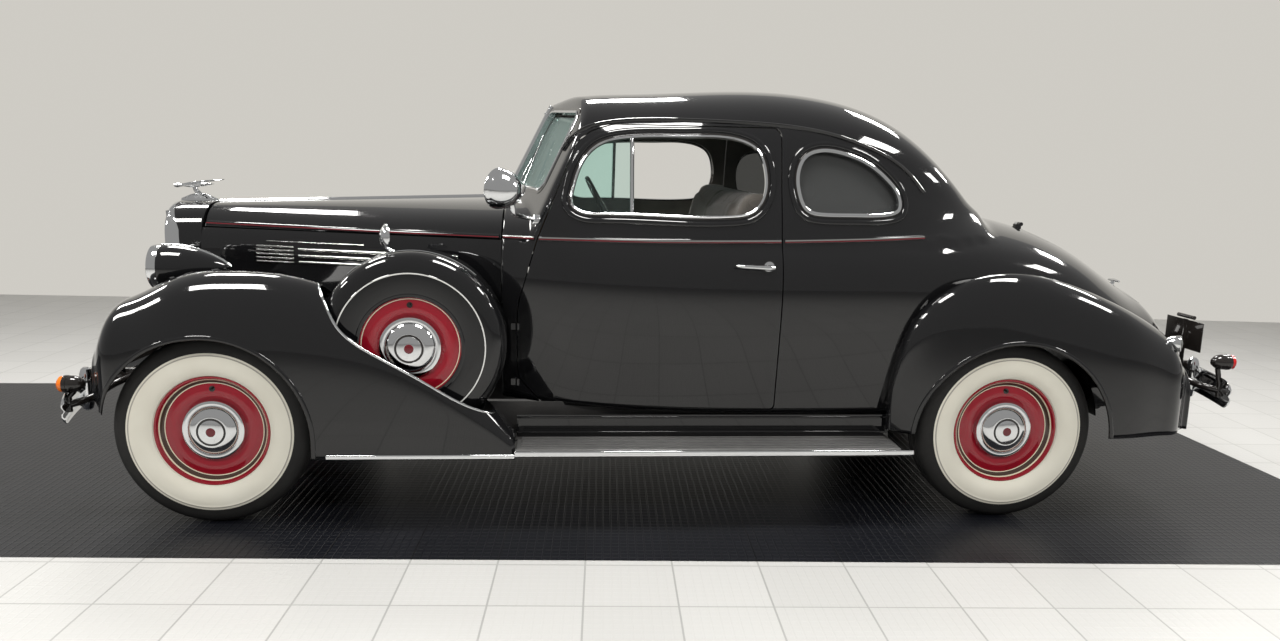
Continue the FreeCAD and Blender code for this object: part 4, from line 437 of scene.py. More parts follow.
def wired(tree, nodes, links):
    # Nodes as name: (kind, settings), where sockets begin with a capital or a digit. Textures read object places
    made = {"shader": tree.nodes.get("Principled BSDF"),
            "out": tree.nodes.get("Material Output") or tree.nodes.get("Group Output")}
    place = tree.nodes.new("ShaderNodeTexCoord").outputs["Object"]
    for name, (kind, settings) in nodes.items():
        node = made[name] = tree.nodes.new("ShaderNode" + kind)
        for label, value in settings.items():
            if str(label)[0].islower():
                setattr(node, label, value)
            else:
                node.inputs[label].default_value = value
        if kind == "Mapping" or kind.startswith("Tex"):
            tree.links.new(place, node.inputs["Vector"])
            place = node.outputs[0] if kind == "Mapping" else place
    for link in links:
        (start, output), (end, socket) = (side.split(".") for side in link.split(" > "))
        tree.links.new(pick(made[start].outputs, output), pick(made[end].inputs, socket))


def material(name, settings, nodes, links):
    mat = bpy.data.materials.new(name)
    mat.use_nodes = True
    for label, value in settings.items():
        mat.node_tree.nodes["Principled BSDF"].inputs[label].default_value = value
    wired(mat.node_tree, nodes, links)
    return mat


def noise(scale, detail=2):
    return "TexNoise", {"Scale": scale, "Detail": detail}


def shades(dark, light):
    return "Mix", {"data_type": "RGBA", 6: (*dark, 1), 7: (*light, 1)}


def relief(strength, distance):
    return "Bump", {"Strength": strength, "Distance": distance}


# Fine dust and wipe marks shared by the paints: a roughness mask and a bump height
wear = bpy.data.node_groups.new("surfaceWear", "ShaderNodeTree")
for label in ("Haze", "Peel"):
    wear.interface.new_socket(name=label, in_out="OUTPUT", socket_type="NodeSocketFloat")
wear.nodes.new("NodeGroupOutput").name = "Group Output"
wired(wear, {"cloud": noise(3.5, 5), "speck": noise(160), "peel": noise(42, 1),
             "mix": ("Math", {"operation": "MULTIPLY"})},
      ["cloud.Fac > mix.0", "speck.Fac > mix.1", "mix.0 > out.Haze", "peel.Fac > out.Peel"])


def paint(name, color, rough, haze=0.1, coat=1, metallic=0):
    return material(
        name, {"Base Color": (*color, 1), "Metallic": metallic, "Coat Weight": coat, "Coat Roughness": 0.025,
               "Specular IOR Level": 0.5 - 0.4 * coat},
        {"wear": ("Group", {"node_tree": wear}), "bump": relief(0.006, 0.002),
         "span": ("MapRange", {"From Min": 0.15, "From Max": 0.5, "To Min": rough, "To Max": rough + haze})},
        ["wear.Haze > span.Value", "span.0 > shader.Roughness", "wear.Peel > bump.Height", "bump.0 > shader.Normal"])


def textured(name, dark, light, scale, rough, bumpStrength, bumpScale, metallic=0):
    # Two shades mixed by noise with a finer noise as relief
    return material(
        name, {"Roughness": rough, "Metallic": metallic},
        {"cloud": noise(scale, 4), "mix": shades(dark, light), "grain": noise(bumpScale),
         "bump": relief(bumpStrength, 0.001)},
        ["cloud.Fac > mix.0", "mix.2 > shader.Base Color", "grain.Fac > bump.Height", "bump.0 > shader.Normal"])


def clothMaterial(name, dark, light):
    threads = {"Scale": 210}
    return material(
        name, {"Roughness": 0.95, "Sheen Weight": 0.35, "Sheen Roughness": 0.4},
        {"warp": ("TexWave", {"bands_direction": "Y", **threads}),
         "weft": ("TexWave", {"bands_direction": "X", **threads}),
         "weave": ("Math", {"operation": "MULTIPLY"}), "stain": noise(9), "bump": relief(0.3, 0.0015),
         "total": ("Math", {"operation": "MULTIPLY_ADD", 1: 0.5}), "mix": shades(dark, light)},
        ["warp.Fac > weave.0", "weft.Fac > weave.1", "weave.0 > total.0", "stain.Fac > total.2", "total.0 > mix.0",
         "mix.2 > shader.Base Color", "weave.0 > bump.Height", "bump.0 > shader.Normal"])


def glassMaterial(name, color, clear):
    # Tinted pane: a thin reflecting sheet with a share of see-through
    rough = 0.02
    return material(
        name, {"Base Color": (*[0.25 * c for c in color], 1), "Roughness": rough, "Specular IOR Level": 0.5},
        {"seen": ("BsdfTransparent", {"Color": (*[0.35 + 0.65 * c for c in color], 1)}),
         "fresnel": ("Fresnel", {"IOR": 1.45}), "keep": ("MapRange", {"To Min": 1 - clear, "To Max": 0.8}),
         "streak": noise(6), "mix": ("MixShader", {}),
         "blur": ("MapRange", {"To Min": rough, "To Max": rough + 0.05})},
        ["streak.Fac > blur.Value", "blur.0 > shader.Roughness", "fresnel.0 > keep.Value", "keep.0 > mix.0",
         "seen.0 > mix.1", "shader.0 > mix.2", "mix.0 > out.Surface"])


blackPaint = paint("blackPaint", (0.0045, 0.0045, 0.005), 0.06, 0.12)
innerPaint = textured("innerPaint", (0.01, 0.01, 0.011), (0.02, 0.02, 0.021), 14, 0.45, 0.15, 220)
chassisPaint = textured("chassisPaint", (0.012, 0.012, 0.013), (0.035, 0.033, 0.031), 11, 0.5, 0.25, 160)
stripeRed = paint("stripeRed", (0.12, 0.006, 0.012), 0.2)
wheelRed = paint("wheelRed", (0.26, 0.006, 0.016), 0.12, 0.15)
creamLine = paint("creamLine", (0.72, 0.66, 0.5), 0.3)
grooveBrown = paint("grooveBrown", (0.06, 0.035, 0.025), 0.35)
chrome = paint("chromePlate", (0.74, 0.75, 0.76), 0.045, 0.09, 0, 1)
dullSilver = paint("louvreSilver", (0.62, 0.62, 0.6), 0.16, 0.12, 0, 1)
whiteLine = paint("coverStripe", (0.62, 0.62, 0.6), 0.25)
tyreBlack = textured("tyreRubber", (0.01, 0.01, 0.01), (0.022, 0.021, 0.02), 30, 0.72, 0.4, 420)
whiteWall = textured("whiteWall", (0.66, 0.63, 0.54), (0.76, 0.74, 0.65), 7, 0.55, 0.12, 260)
wallLine = textured("wallLine", (0.3, 0.29, 0.25), (0.4, 0.38, 0.34), 20, 0.6, 0.1, 260)
# Running-board rubber: dark grey of its own, with the base lightened further as painted sheen for the wall's
# reflection on the mat
rubberAndPaintedSheen = textured("stepRubberPaintedSheen", (0.055, 0.055, 0.055), (0.095, 0.094, 0.092), 18, 0.3, 0.2, 300)
seatCloth = clothMaterial("seatCloth", (0.05, 0.045, 0.04), (0.15, 0.135, 0.12))
lining = clothMaterial("headlining", (0.1, 0.095, 0.085), (0.2, 0.19, 0.17))
carpet = clothMaterial("carpet", (0.012, 0.012, 0.012), (0.04, 0.038, 0.036))
iron = textured("castIron", (0.05, 0.06, 0.055), (0.1, 0.11, 0.1), 16, 0.6, 0.5, 120, 0.4)
steel = textured("rawSteel", (0.2, 0.19, 0.18), (0.36, 0.35, 0.34), 9, 0.42, 0.2, 200, 0.9)
gripBlack = paint("gripPlastic", (0.012, 0.01, 0.009), 0.18)
woodGrain = textured("dashGrain", (0.05, 0.028, 0.016), (0.11, 0.06, 0.03), 5, 0.25, 0.05, 90)
amber = paint("amberLens", (0.75, 0.16, 0.01), 0.12)
redLens = paint("redLens", (0.45, 0.01, 0.01), 0.12)
lampGlass = glassMaterial("lampGlass", (0.8, 0.82, 0.8), 0.45)
screenGlass = glassMaterial("screenGlass", (0.86, 1, 0.97), 0.99)
quarterGlass = glassMaterial("quarterGlass", (0.3, 0.31, 0.31), 0.55)
print("materials done")


def addCamera():
    # The photograph's viewpoint, found by fitting the wheels and the wheelbase
    view = {"place": (-0.486, -4.517, 1.4818), "yaw": 5.0356, "pitch": 9.8996, "roll": 1.3517, "lens": 26.525}
    yaw, pitch, roll = (math.radians(view[k]) for k in ("yaw", "pitch", "roll"))
    ahead = Vector((math.sin(yaw) * math.cos(pitch), math.cos(yaw) * math.cos(pitch), -math.sin(pitch)))
    right = Vector((math.cos(yaw), -math.sin(yaw), 0))
    up = right.cross(ahead)
    right, up = right * math.cos(roll) + up * math.sin(roll), up * math.cos(roll) - right * math.sin(roll)
    turn = Matrix((right, up, -ahead)).transposed().to_4x4()
    data = bpy.data.cameras.new("photoCamera")
    data.lens = view["lens"]
    data.sensor_width = 36
    data.clip_end = 200
    scene.camera = linked("photoCamera", data)
    scene.camera.matrix_world = Matrix.Translation(view["place"]) @ turn


def tileMaterial(name, dark, light, groove, rough, depth):
    # Square tiles with a sunk joint and fine ribs
    def bricks(size, soft, colors):
        return "TexBrick", {"offset": 0, "Scale": 1, "Brick Width": size, "Row Height": size, "Mortar Size": 0.004,
                            "Mortar Smooth": soft, **colors}
    return material(
        name, {"Roughness": rough, "Specular IOR Level": 0.3},
        {"lay": ("Mapping", {"Rotation": (0, 0, 0.047)}), "bump": relief(depth, 0.002), "ribs": bricks(0.032, 0.6, {}),
         "tile": bricks(0.32, 0.3, {"Color1": (*dark, 1), "Color2": (*light, 1), "Mortar": (*groove, 1)})},
        ["tile.Color > shader.Base Color", "ribs.Fac > bump.Height", "bump.0 > shader.Normal"])


def addPlate(name, corners, mat):
    obj = makeObject(name, corners, [tuple(range(len(corners)))], False)
    obj.data.materials.append(mat)


def addStage():
    lightTile = tileMaterial("lightTile", (0.435, 0.432, 0.422), (0.46, 0.457, 0.447), (0.31, 0.31, 0.3), 0.32, 0.25)
    darkTile = tileMaterial("darkTile", (0.0035, 0.004, 0.006), (0.006, 0.0065, 0.009), (0.004, 0.004, 0.005),
                            0.36, 0.9)
    # The walls stay clear from behind and show their plain colour to the camera and to gloss
    wallPaint = textured("wallPaint", (0.6, 0.58, 0.54), (0.64, 0.62, 0.58), 1.5, 0.8, 0.02, 60)
    wired(wallPaint.node_tree,
          {"side": ("NewGeometry", {}), "path": ("LightPath", {}), "seen": ("Math", {"operation": "MAXIMUM"}),
           "glow": ("Emission", {"Color": (0.62, 0.6, 0.555, 1)}), "clear": ("BsdfTransparent", {}),
           "pick": ("MixShader", {}), "back": ("MixShader", {})},
          ["path.Is Camera Ray > seen.0", "path.Is Glossy Ray > seen.1", "seen.0 > pick.0", "shader.0 > pick.1",
           "glow.0 > pick.2", "side.Backfacing > back.0", "pick.0 > back.1", "clear.0 > back.2",
           "back.0 > out.Surface"])
    addPlate("lightFloor", [(-16, -12, 0), (16, -12, 0), (16, 9, 0), (-16, 9, 0)], lightTile)
    addPlate("darkFloor", [(-9, -0.83, 0.0015), (-0.409, -1.223, 0.0015), (3.03, -1.385, 0.0015),
                           (3.03, 1.49, 0.0015), (-9, 1.49, 0.0015)], darkTile)
    corner, high = (0.333, 4.815), 4.6
    for name, (x0, y0), (x1, y1) in (("backWall", (-11, 5.36), corner), ("backWallRight", corner, (12, 3.55))):
        addPlate(name, [(x0, y0, 0), (x1, y1, 0), (x1, y1, high), (x0, y0, high)], wallPaint)
    lamps = {"height": 3.1, "length": 0.85, "width": 0.6, "power": 54}
    for x in (-5, -2.6, -0.2, 2.2, 4.6):
        for y in (-3.6, -1.1, 1.3):
            data = bpy.data.lights.new("ceilingPanel", "AREA")
            data.shape = "RECTANGLE"
            data.size, data.size_y = lamps["length"], lamps["width"]
            data.energy = lamps["power"]
            data.color = (1, 0.985, 0.955)
            lamp = linked("ceilingPanel", data)
            lamp.location = (x, y, lamps["height"])
            lamp.visible_glossy = y > -3
    world = bpy.data.worlds.new("room")
    world.use_nodes = True
    world.node_tree.nodes["Background"].inputs["Color"].default_value = (0.95, 0.94, 0.92, 1)
    world.node_tree.nodes["Background"].inputs["Strength"].default_value = 0.36
    scene.world = world


addCamera()
addStage()
print("camera and stage")


tub = {"front": -0.717, "length": 3.182, "half": 0.797, "base": 0.43, "height": 0.86,
       "section": [(0.945, 0), (1, 0.34), (0.968, 0.815), (0.6, 0.965), (0, 1)],
       "tail": [(0.985, 0), (1, 0.3), (0.93, 0.66), (0.6, 0.9), (0, 1)],
       "stations": [(0, 0.82, 0.05, 0.945, 0), (0.073, 0.915, 0.03, 0.98, 0), (0.183, 0.982, 0.01, 1, 0),
                    (0.359, 1, 0, 1, 0), (0.548, 0.968, 0, 0.985, 0), (0.695, 0.885, -0.005, 0.945, 0.15),
                    (0.82, 0.785, -0.012, 0.803, 0.5), (0.877, 0.715, -0.015, 0.684, 0.8),
                    (0.923, 0.64, -0.017, 0.591, 1), (0.949, 0.58, -0.018, 0.53, 1),
                    (0.975, 0.5, -0.019, 0.41, 1), (0.994, 0.4, -0.02, 0.265, 1), (1, 0.33, -0.02, 0.172, 1)]}
cabin = {"front": -0.835, "length": 2.34, "half": 0.771, "base": 1.137, "height": 0.646,
         "section": [(1, 0), (0.972, 0.17), (0.918, 0.42), (0.85, 0.72), (0.64, 0.93), (0, 1)],
         "stations": [(0, 0.8, 0.64), (0.128, 0.895, 0.876), (0.177, 0.925, 0.915), (0.3, 0.985, 0.945),
                      (0.477, 1, 0.98), (0.62, 0.993, 0.957), (0.726, 0.965, 0.868), (0.812, 0.908, 0.703),
                      (0.888, 0.815, 0.442), (0.94, 0.72, 0.235), (1, 0.6, 0.11)]}
screen = {"foot": (-0.726, 0, 1.307), "run": 0.208, "rise": 0.41, "sweep": 0.181, "sweepWidth": 0.6,
          "corners": [(0.06, 0.07), (0.86, 0.05), (0.8, 0.86), (0.06, 0.9)], "round": 0.12}
door = {"x": -0.655, "z": 0.446, "length": 1.072, "height": 1.163, "gap": 0.005,
        "corners": [(0, 0.1), (0, 0.36), (0.075, 0.6), (0.235, 0.965), (0.36, 1), (1, 1), (1, 0), (0.1, 0)],
        "round": [0.04, 0.3, 0.5, 0.13, 0.1, 0.03, 0.02, 0.06]}
# Side window outlines in side view
doorWindow = mm((-437, 1279), (-436, 1339), (-405, 1438), (-340, 1520), (-227, 1556), (34, 1567), (232, 1560),
    (317, 1518), (351, 1435), (347, 1335), (300, 1268), (209, 1245), (-60, 1243), (-322, 1245), (-400, 1252))
quarterWindow = mm((484, 1337), (480, 1438), (509, 1495), (570, 1522), (675, 1513), (782, 1473), (871, 1406),
    (920, 1335), (917, 1284), (860, 1262), (722, 1258), (585, 1259), (513, 1278))
lid = {"x": 1.665, "length": 0.65, "half": 0.385, "taper": 0.22, "corner": 0.22, "lean": 0.46, "gap": 0.005}
rearWindow = {"inner": 0.022, "outer": 0.32, "low": 1.405, "high": 1.595, "round": 0.35, "x": 0.9}
wallThickness = 0.046


def stationCurves(piece):
    rows = np.array(piece["stations"])
    return cubic(rows[:, 0], rows[:, 1:])


def halfLine(shares, half, base, height):
    # A half section from its foot to the centre line, mirrored so that its top comes out level
    points = np.column_stack([shares[:, 0] * half, base + height * shares[:, 1]])
    return throughPoints(np.vstack([points, points[:-1][::-1] * (-1, 1)]), 321)[:161]


def radiusAt(outline, middle, angles):
    turn = np.arctan2(outline[:, 1] - middle, outline[:, 0])
    reach = np.hypot(outline[:, 0], outline[:, 1] - middle)
    order = np.argsort(turn)
    out = np.interp(angles, turn[order], reach[order])
    out[angles < turn[order][0] - 1e-6] = 0
    return out


def bodyGrid(cols=72):
    # The body skin as rays from its middle: the farther of the tub and the cabin, blended where they meet
    tubAt, cabinAt = stationCurves(tub), stationCurves(cabin)
    xs = np.concatenate([np.linspace(tub["front"], -0.3, 52), np.linspace(-0.3, 1, 42)[1:],
                         np.linspace(1, 2.3, 56)[1:], np.linspace(2.3, tub["front"] + tub["length"], 14)[1:]])
    near, far = np.array(tub["section"]), np.array(tub["tail"])
    slope, swing = screen["run"] / screen["rise"], screen["sweep"] / screen["sweepWidth"]
    rows = []
    for x in xs:
        w, lift, h, tail = tubAt((x - tub["front"]) / tub["length"])[0]
        base = tub["base"] + tub["height"] * lift
        height = tub["height"] * h
        tubLine = halfLine(near + (far - near) * tail, tub["half"] * w, base, height)
        middle = base + height * 0.5
        low = math.atan2(base - middle, tubLine[0, 0])
        angles = low + (math.pi / 2 - low) * np.linspace(0, 1, cols)
        reach = radiusAt(tubLine, middle, angles)
        along = (x - cabin["front"]) / cabin["length"]
        if along < 1:
            w, h = cabinAt(along)[0]
            line = halfLine(np.array(cabin["section"]), cabin["half"] * w, cabin["base"], cabin["height"] * h)
            upper = radiusAt(line, middle, angles)
            reachDown = (screen["foot"][2] - middle + (x - screen["foot"][0]) / slope) \
                / (np.sin(angles) + np.cos(angles) * swing / slope)
            upper = np.where(upper > 0, -smoothMax(-upper, -np.maximum(reachDown, 0), 0.035), 0)
            fade = np.clip((1 - along) / 0.06, 0, 1)
            blend = 0.022 + 0.11 * np.clip((x - 0.85) / 0.45, 0, 1)
            reach = smoothMax(reach, upper * fade + reach * (1 - fade) * 0.6, blend)
        rows.append(np.column_stack([np.full(cols, x), -reach * np.cos(angles), middle + reach * np.sin(angles)]))
    half = np.array(rows)
    return np.concatenate([half, half[:, :-1][:, ::-1] * (1, -1, 1)], axis=1)


def windowPath(window, margin=0, count=120):
    # A smooth closed outline through points, moved inwards by a margin
    points = np.array(window)
    longer = np.vstack([points[-4:], points, points[:5]])
    along = lengthsAlong(longer)
    outline = cubic(along, longer)(np.linspace(along[4], along[-5], count + 1)[:-1])
    way = unit(np.roll(outline, -1, axis=0) - np.roll(outline, 1, axis=0))
    turn = np.column_stack([way[:, 1], -way[:, 0]])
    if np.sum(turn * (outline.mean(axis=0) - outline)) < 0:
        turn = -turn
    return outline + turn * margin


def doorCutter(margin, side):
    x0, z0 = door["x"] + margin, door["z"] + margin
    length, height = door["length"] - 2 * margin, door["height"] - 2 * margin
    outline = roundedPath([(x0 + length * along, z0 + height * up) for along, up in door["corners"]],
                          [height * share for share in door["round"]])
    return prism("doorCutter", outline, side * 0.5, side * 1.3)


def screenPane(side, margin=0):
    # The outline of one windshield pane on its plane, and the plane's normal
    up = Vector((screen["run"], 0, screen["rise"]))
    out = Vector((screen["sweep"], side * screen["sweepWidth"], 0))
    normal = up.cross(out).normalized()
    normal = normal if normal.x < 0 else -normal
    corners = [(across * out.length + (margin if across < 0.5 else -margin),
                rise * up.length + (margin if rise < 0.5 else -margin)) for across, rise in screen["corners"]]
    path = roundedPath(corners, [screen["rise"] * screen["round"]] * 4)
    return [Vector(screen["foot"]) + out.normalized() * u + up.normalized() * v for u, v in path], normal


def lidCutter(name, margin, low, high):
    # The lid's outline between two heights, leaning with the tail
    front = lid["x"] + margin - lid["topFront"] * lid["lean"]
    rear = lid["x"] + lid["length"] - margin - lid["topRear"] * lid["lean"]
    half, taper = lid["half"] - margin, lid["half"] * lid["taper"]
    outline = roundedPath([(front, -half), (front, half), (rear, half - taper), (rear, taper - half)],
                          [lid["half"] * lid["corner"]] * 4)
    return between(name, *([(x + lid["lean"] * z, y, z) for x, y in outline] for z in (low, high)))


grid = bodyGrid()
skin = gridObject("skin", grid)
probe = skin.data.polygons[len(skin.data.polygons) // 3]
if probe.normal.dot(probe.center - Vector((0.5, 0, 0.9))) < 0:
    flipped(skin)
skinTree = treeOf(skin)


def topAt(x):
    return skinTree.ray_cast(Vector((x, 0, 3)), Vector((0, 0, -1)))[0].z


lid["topFront"], lid["topRear"] = topAt(lid["x"]), topAt(lid["x"] + lid["length"])
shellSolid = thickened(copied(skin, "shellSolid"), wallThickness)
smoothSource = copied(shellSolid, "smoothSource")


def buildShell():
    cutters = []
    for side in (-1, 1):
        cutters += [doorCutter(0, side), prism("quarter", windowPath(quarterWindow), side * 0.4, side * 1.3)]
        flat, normal = screenPane(side)
        flat = [p - normal * 0.12 for p in flat]
        cutters.append(between("pane", flat, [p + normal * 0.25 for p in flat]))
        inner, outer, low, high = (rearWindow[k] for k in ("inner", "outer", "low", "high"))
        ring = roundedPath([(side * inner, low), (side * outer, low), (side * outer, high), (side * inner, high)],
                           [(high - low) * rearWindow["round"]] * 4)
        ends = (rearWindow["x"], rearWindow["x"] + 0.8)
        cutters.append(between("rearPane", *([(x, y, z) for y, z in ring] for x in ends)))
    cutters.append(lidCutter("lidCutter", 0, 0.75, 1.4))
    wheelhouse = spun("wheelhouse", [(-0.3, 0), (-0.3, 0.45), (0.3, 0.45), (0.3, 0)], (1.391, -0.88, 0.378))
    cutters += [wheelhouse, mirrored(wheelhouse, "wheelhouseRight")]
    return smoothFrom(cutWith(copied(shellSolid, "bodyShell"), *cutters), smoothSource)


def liningRule(middle, normal):
    # Outer faces are painted, and faces that look into the cabin are trimmed
    away = Vector((0, middle.y, (middle.z - 0.95) * 0.8))
    if away.dot(normal) > 0 or middle.x > 1.3:
        return 0
    return 1 if middle.z > 1.1 else 2


def settlePanel(piece, body, node, *inner):
    return settle(piece, body, [blackPaint, *inner], node)


settlePanel(slotByPlace(buildShell(), liningRule), carBody, "body_shell", lining, innerPaint)
print("body shell")
doorLeft = cutWith(copied(shellSolid, "doorLeft"), doorCutter(door["gap"], -1), kind="INTERSECT")
cutWith(doorLeft, prism("window", windowPath(doorWindow), -1.3, -0.4))
slotByPlace(smoothFrom(doorLeft, smoothSource), liningRule)
doorRight = mirrored(doorLeft, "doorRight")
settlePanel(doorLeft, "left_door", "door_left", lining, carpet)
settlePanel(doorRight, "right_door", "door_right", lining, carpet)
luggageLid = copied(shellSolid, "luggageLid")
cutWith(luggageLid, lidCutter("lidPrism", lid["gap"], 0.78, 1.38), kind="INTERSECT")
settlePanel(slotByPlace(smoothFrom(luggageLid, smoothSource), lambda middle, normal: 0 if normal.z > -0.2 else 1),
            "rear_lid", "luggage_lid", innerPaint)
for done in (shellSolid, smoothSource):
    bpy.data.objects.remove(done)
print("doors and lid")


hood = {"front": -2.029, "rear": -0.722, "frontHalf": 0.262, "rearHalf": 0.6535, "frontTop": 1.232, "rearTop": 1.283,
        "bottom": 0.868, "split": 1.132, "gap": 0.004, "sheet": 0.008,
        "section": [(0.995, 0), (0.985, 0.33), (0.957, 0.64), (0.6, 0.933), (0, 1)]}


def hoodSheet(name, front, rear, low, high, cols, inner=0):
    grid = []
    for x in np.linspace(front, rear, 40):
        t = (x - hood["front"]) / (hood["rear"] - hood["front"])
        top = hood["frontTop"] + (hood["rearTop"] - hood["frontTop"]) * t
        line = halfLine(np.array(hood["section"]), hood["frontHalf"] + (hood["rearHalf"] - hood["frontHalf"]) * t,
                        hood["bottom"], top - hood["bottom"])
        keep = line[(line[:, 1] >= low - 0.002) & (line[:, 1] <= high + 0.002) & (line[:, 0] >= inner)]
        start = np.array([[np.interp(low, line[:, 1], line[:, 0]), low]]) if low > hood["bottom"] else keep[:1]
        end = np.array([[np.interp(high, line[:, 1], line[:, 0]), high]]) if high < line[-1, 1] \
            else np.array([[inner, np.interp(-inner, -line[:, 0], line[:, 1])]])
        path = np.vstack([start, keep[(keep[:, 1] > low + 0.003) & (keep[:, 0] > end[0, 0] + 0.002)], end])
        along = lengthsAlong(path)
        at = np.linspace(0, along[-1], cols)
        y, z = (np.interp(at, along, column) for column in path.T)
        grid.append(np.column_stack([np.full(cols, x), -y, z]))
    obj = gridObject(name, grid)
    if obj.data.polygons[len(obj.data.polygons) // 2].normal.z < 0 or obj.data.polygons[0].normal.y > 0:
        flipped(obj)
    return sharpen(thickened(obj, hood["sheet"]), 40)


hoodTopLeft = hoodSheet("hoodTopLeft", hood["front"], hood["rear"], hood["split"] + hood["gap"], 9, 44, 0.005)
hoodTopRight = mirrored(hoodTopLeft, "hoodTopRight")
for piece, body, node in ((hoodTopLeft, "left_hood", "hood_left"), (hoodTopRight, "right_hood", "hood_right")):
    settlePanel(slotByPlace(piece, lambda middle, normal: 0 if normal.z > -0.15 else 1), body, node, innerPaint)
hoodSideLeft = hoodSheet("hoodSides", hood["front"] - 0.011, hood["rear"] + 0.004, hood["bottom"],
                         hood["split"] - hood["gap"], 24)
sideTree = treeOf(hoodSideLeft)
hoodSides = joined("hoodSides", [hoodSideLeft, mirrored(hoodSideLeft, "hoodSideRight")])
settlePanel(hoodSides, carBody, "hood_side_panels")
print("hood")


fenderShares = np.array([(0, 0.7), (0.13, 0.8), (0.4, 0.93), (0.66, 1), (0.86, 0.93), (0.97, 0.74),
                         (1, 0.45), (1, 0)])
fenderSheet = 0.006
# Stations along each fender: place, inner edge, outer edge, foot and crown
frontFender = {"tip": (-2.291, 0.65, 0.597), "stations": mm((-2290, 600, 700, 585, 610), (-2285, 520, 760, 540, 660),
    (-2270, 470, 815, 500, 715), (-2226, 420, 865, 455, 813), (-2136, 365, 897, 430, 899),
    (-1963, 351.5, 925, 360, 979), (-1750, 388.5, 925, 300, 1004), (-1553, 448.6, 925, 292, 993.3),
    (-1340, 518, 925, 292, 936.4), (-1110, 582.8, 925, 292, 818.9), (-881, 642.9, 925, 292, 619.5),
    (-733, 670.6, 925, 292, 470), (-651, 679.9, 925, 292, 377.4))}
rearFender = {"tip": (2.247, 0.56, 0.46), "stations": mm((887, 725.4, 790.5, 372, 479.5),
    (914, 725.4, 813.8, 372, 667.7), (969, 716.1, 855.6, 372, 842.4), (1064, 697.5, 902.1, 372, 949.9),
    (1186, 678.9, 925.4, 372, 1017.1), (1336, 651, 930, 372, 1044), (1513, 595.2, 930, 372, 1027.2),
    (1703, 530.1, 930, 372, 973.4), (1893, 465, 920.7, 372, 896.2), (2057, 409.2, 883.5, 372, 812.2),
    (2150, 385, 842, 373, 735), (2200, 385, 805, 378, 668), (2232, 410, 765, 392, 595), (2244, 460, 690, 420, 530))}
arch = {"radius": 0.402, "height": 0.36, "front": -1.835, "rear": 1.391}
spare = {"x": -1.058, "z": 0.728, "radius": 0.368, "outer": 0.868, "inner": 0.672}
lipLine = [(-1, 1.6), (-1, 0.68), (-0.87, 0.48), (-0.71, 0.21), (-0.35, -0.06), (0.18, -0.36), (0.6, -0.6),
           (1, -0.74), (1, 1.6)]


def fenderSkin(name, piece, tipFirst):
    at = stationCurves(piece)
    spread = np.linspace(0, 1, 110)
    first, last = piece["stations"][0][0], piece["stations"][-1][0]
    eased = spread ** 1.5 if tipFirst else 1 - (1 - spread) ** 1.5
    grid = []
    for x in first + (last - first) * eased:
        inner, outer, foot, crown = at(x)[0]
        points = np.array([inner, foot]) + np.array([outer - inner, crown - foot]) * fenderShares
        wall = np.column_stack([np.full(7, inner), np.linspace(foot, points[0, 1], 8)[:-1]])
        line = np.vstack([wall, throughPoints(points, 44)])
        grid.append(np.column_stack([np.full(len(line), x), -line[:, 0], line[:, 1]]))
    x, y, z = piece["tip"]
    end = np.tile((x, -y, z), (len(grid[0]), 1))
    obj = edited(gridObject(name, [end] + grid if tipFirst else grid + [end]),
                 lambda: bpy.ops.mesh.remove_doubles(threshold=0.00001))
    top = max((p for p in obj.data.polygons if abs(p.center.x - (first + last) / 2) < 0.1), key=lambda p: p.center.z)
    return flipped(obj) if top.normal.z < 0 else obj


def archArc(x, radius, count):
    return [(x + radius * math.cos(a), arch["height"] + radius * math.sin(a)) for a in np.linspace(0, math.pi, count)]


def archCutter(x, inner):
    outline = [(x + arch["radius"], 0)] + archArc(x, arch["radius"], 49) + [(x - arch["radius"], 0)]
    return prism("archCutter", outline, -1.3, -inner)


def archBead(tree, x, start, finish):
    # The rolled edge round a wheel opening
    radius, foot = arch["radius"] + 0.009, arch["height"] - 0.02
    outline = [(x + radius, z) for z in np.linspace(start, foot, 6)] + archArc(x, radius, 60) \
        + [(x - radius, z) for z in np.linspace(foot, finish, 6)]
    return skinStrip("archBead", tree, outline, bead(0.018, 0.004, 7, 0.003))


def cutFender(surface, source, cutters):
    fender = thickened(surface, fenderSheet)
    uncut = copied(fender, source)
    for cutter in cutters:
        cutWith(fender, cutter)
    smoothFrom(fender, uncut)
    bpy.data.objects.remove(uncut)
    return fender


def buildFrontFender():
    surface = fenderSkin("frontSkin", frontFender, True)
    tree = treeOf(surface)
    reach = spare["radius"] + 0.001
    place = (spare["x"], -spare["outer"], spare["z"])
    outline = [(spare["x"] + reach * along, spare["z"] + reach * up) for along, up in lipLine]
    fender = cutFender(surface, "frontSource", [
        archCutter(arch["front"], 0.77), prism("lip", outline, -1.2, -spare["inner"] + 0.001),
        spun("well", [(-0.001, 0), (-0.001, reach), (0.197, reach), (0.197, 0)], place),
        boxAt("apronCut", (-3, -0.52, 0), (0, 0, 0.66))])
    liner = spun("liner", [(-0.001, reach), (-0.001, reach + 0.004), (0.203, reach + 0.004), (0.203, 0.02),
                           (0.197, 0.02), (0.197, reach)], place, closed=True)
    above = [(spare["x"] + reach * 1.05 * along, spare["z"] + reach * up) for along, up in lipLine]
    cutWith(liner, prism("above", above, -1.2, -0.5))
    edge = evenly(throughPoints(outline[1:-1], 60), 0.012)
    lip = skinStrip("wellLip", tree, edge, bead(0.01, 0.0035, 5, 0.003))
    return joined("frontFenderLeft", [fender, liner, archBead(tree, arch["front"], 0.3, 0.47)]), lip


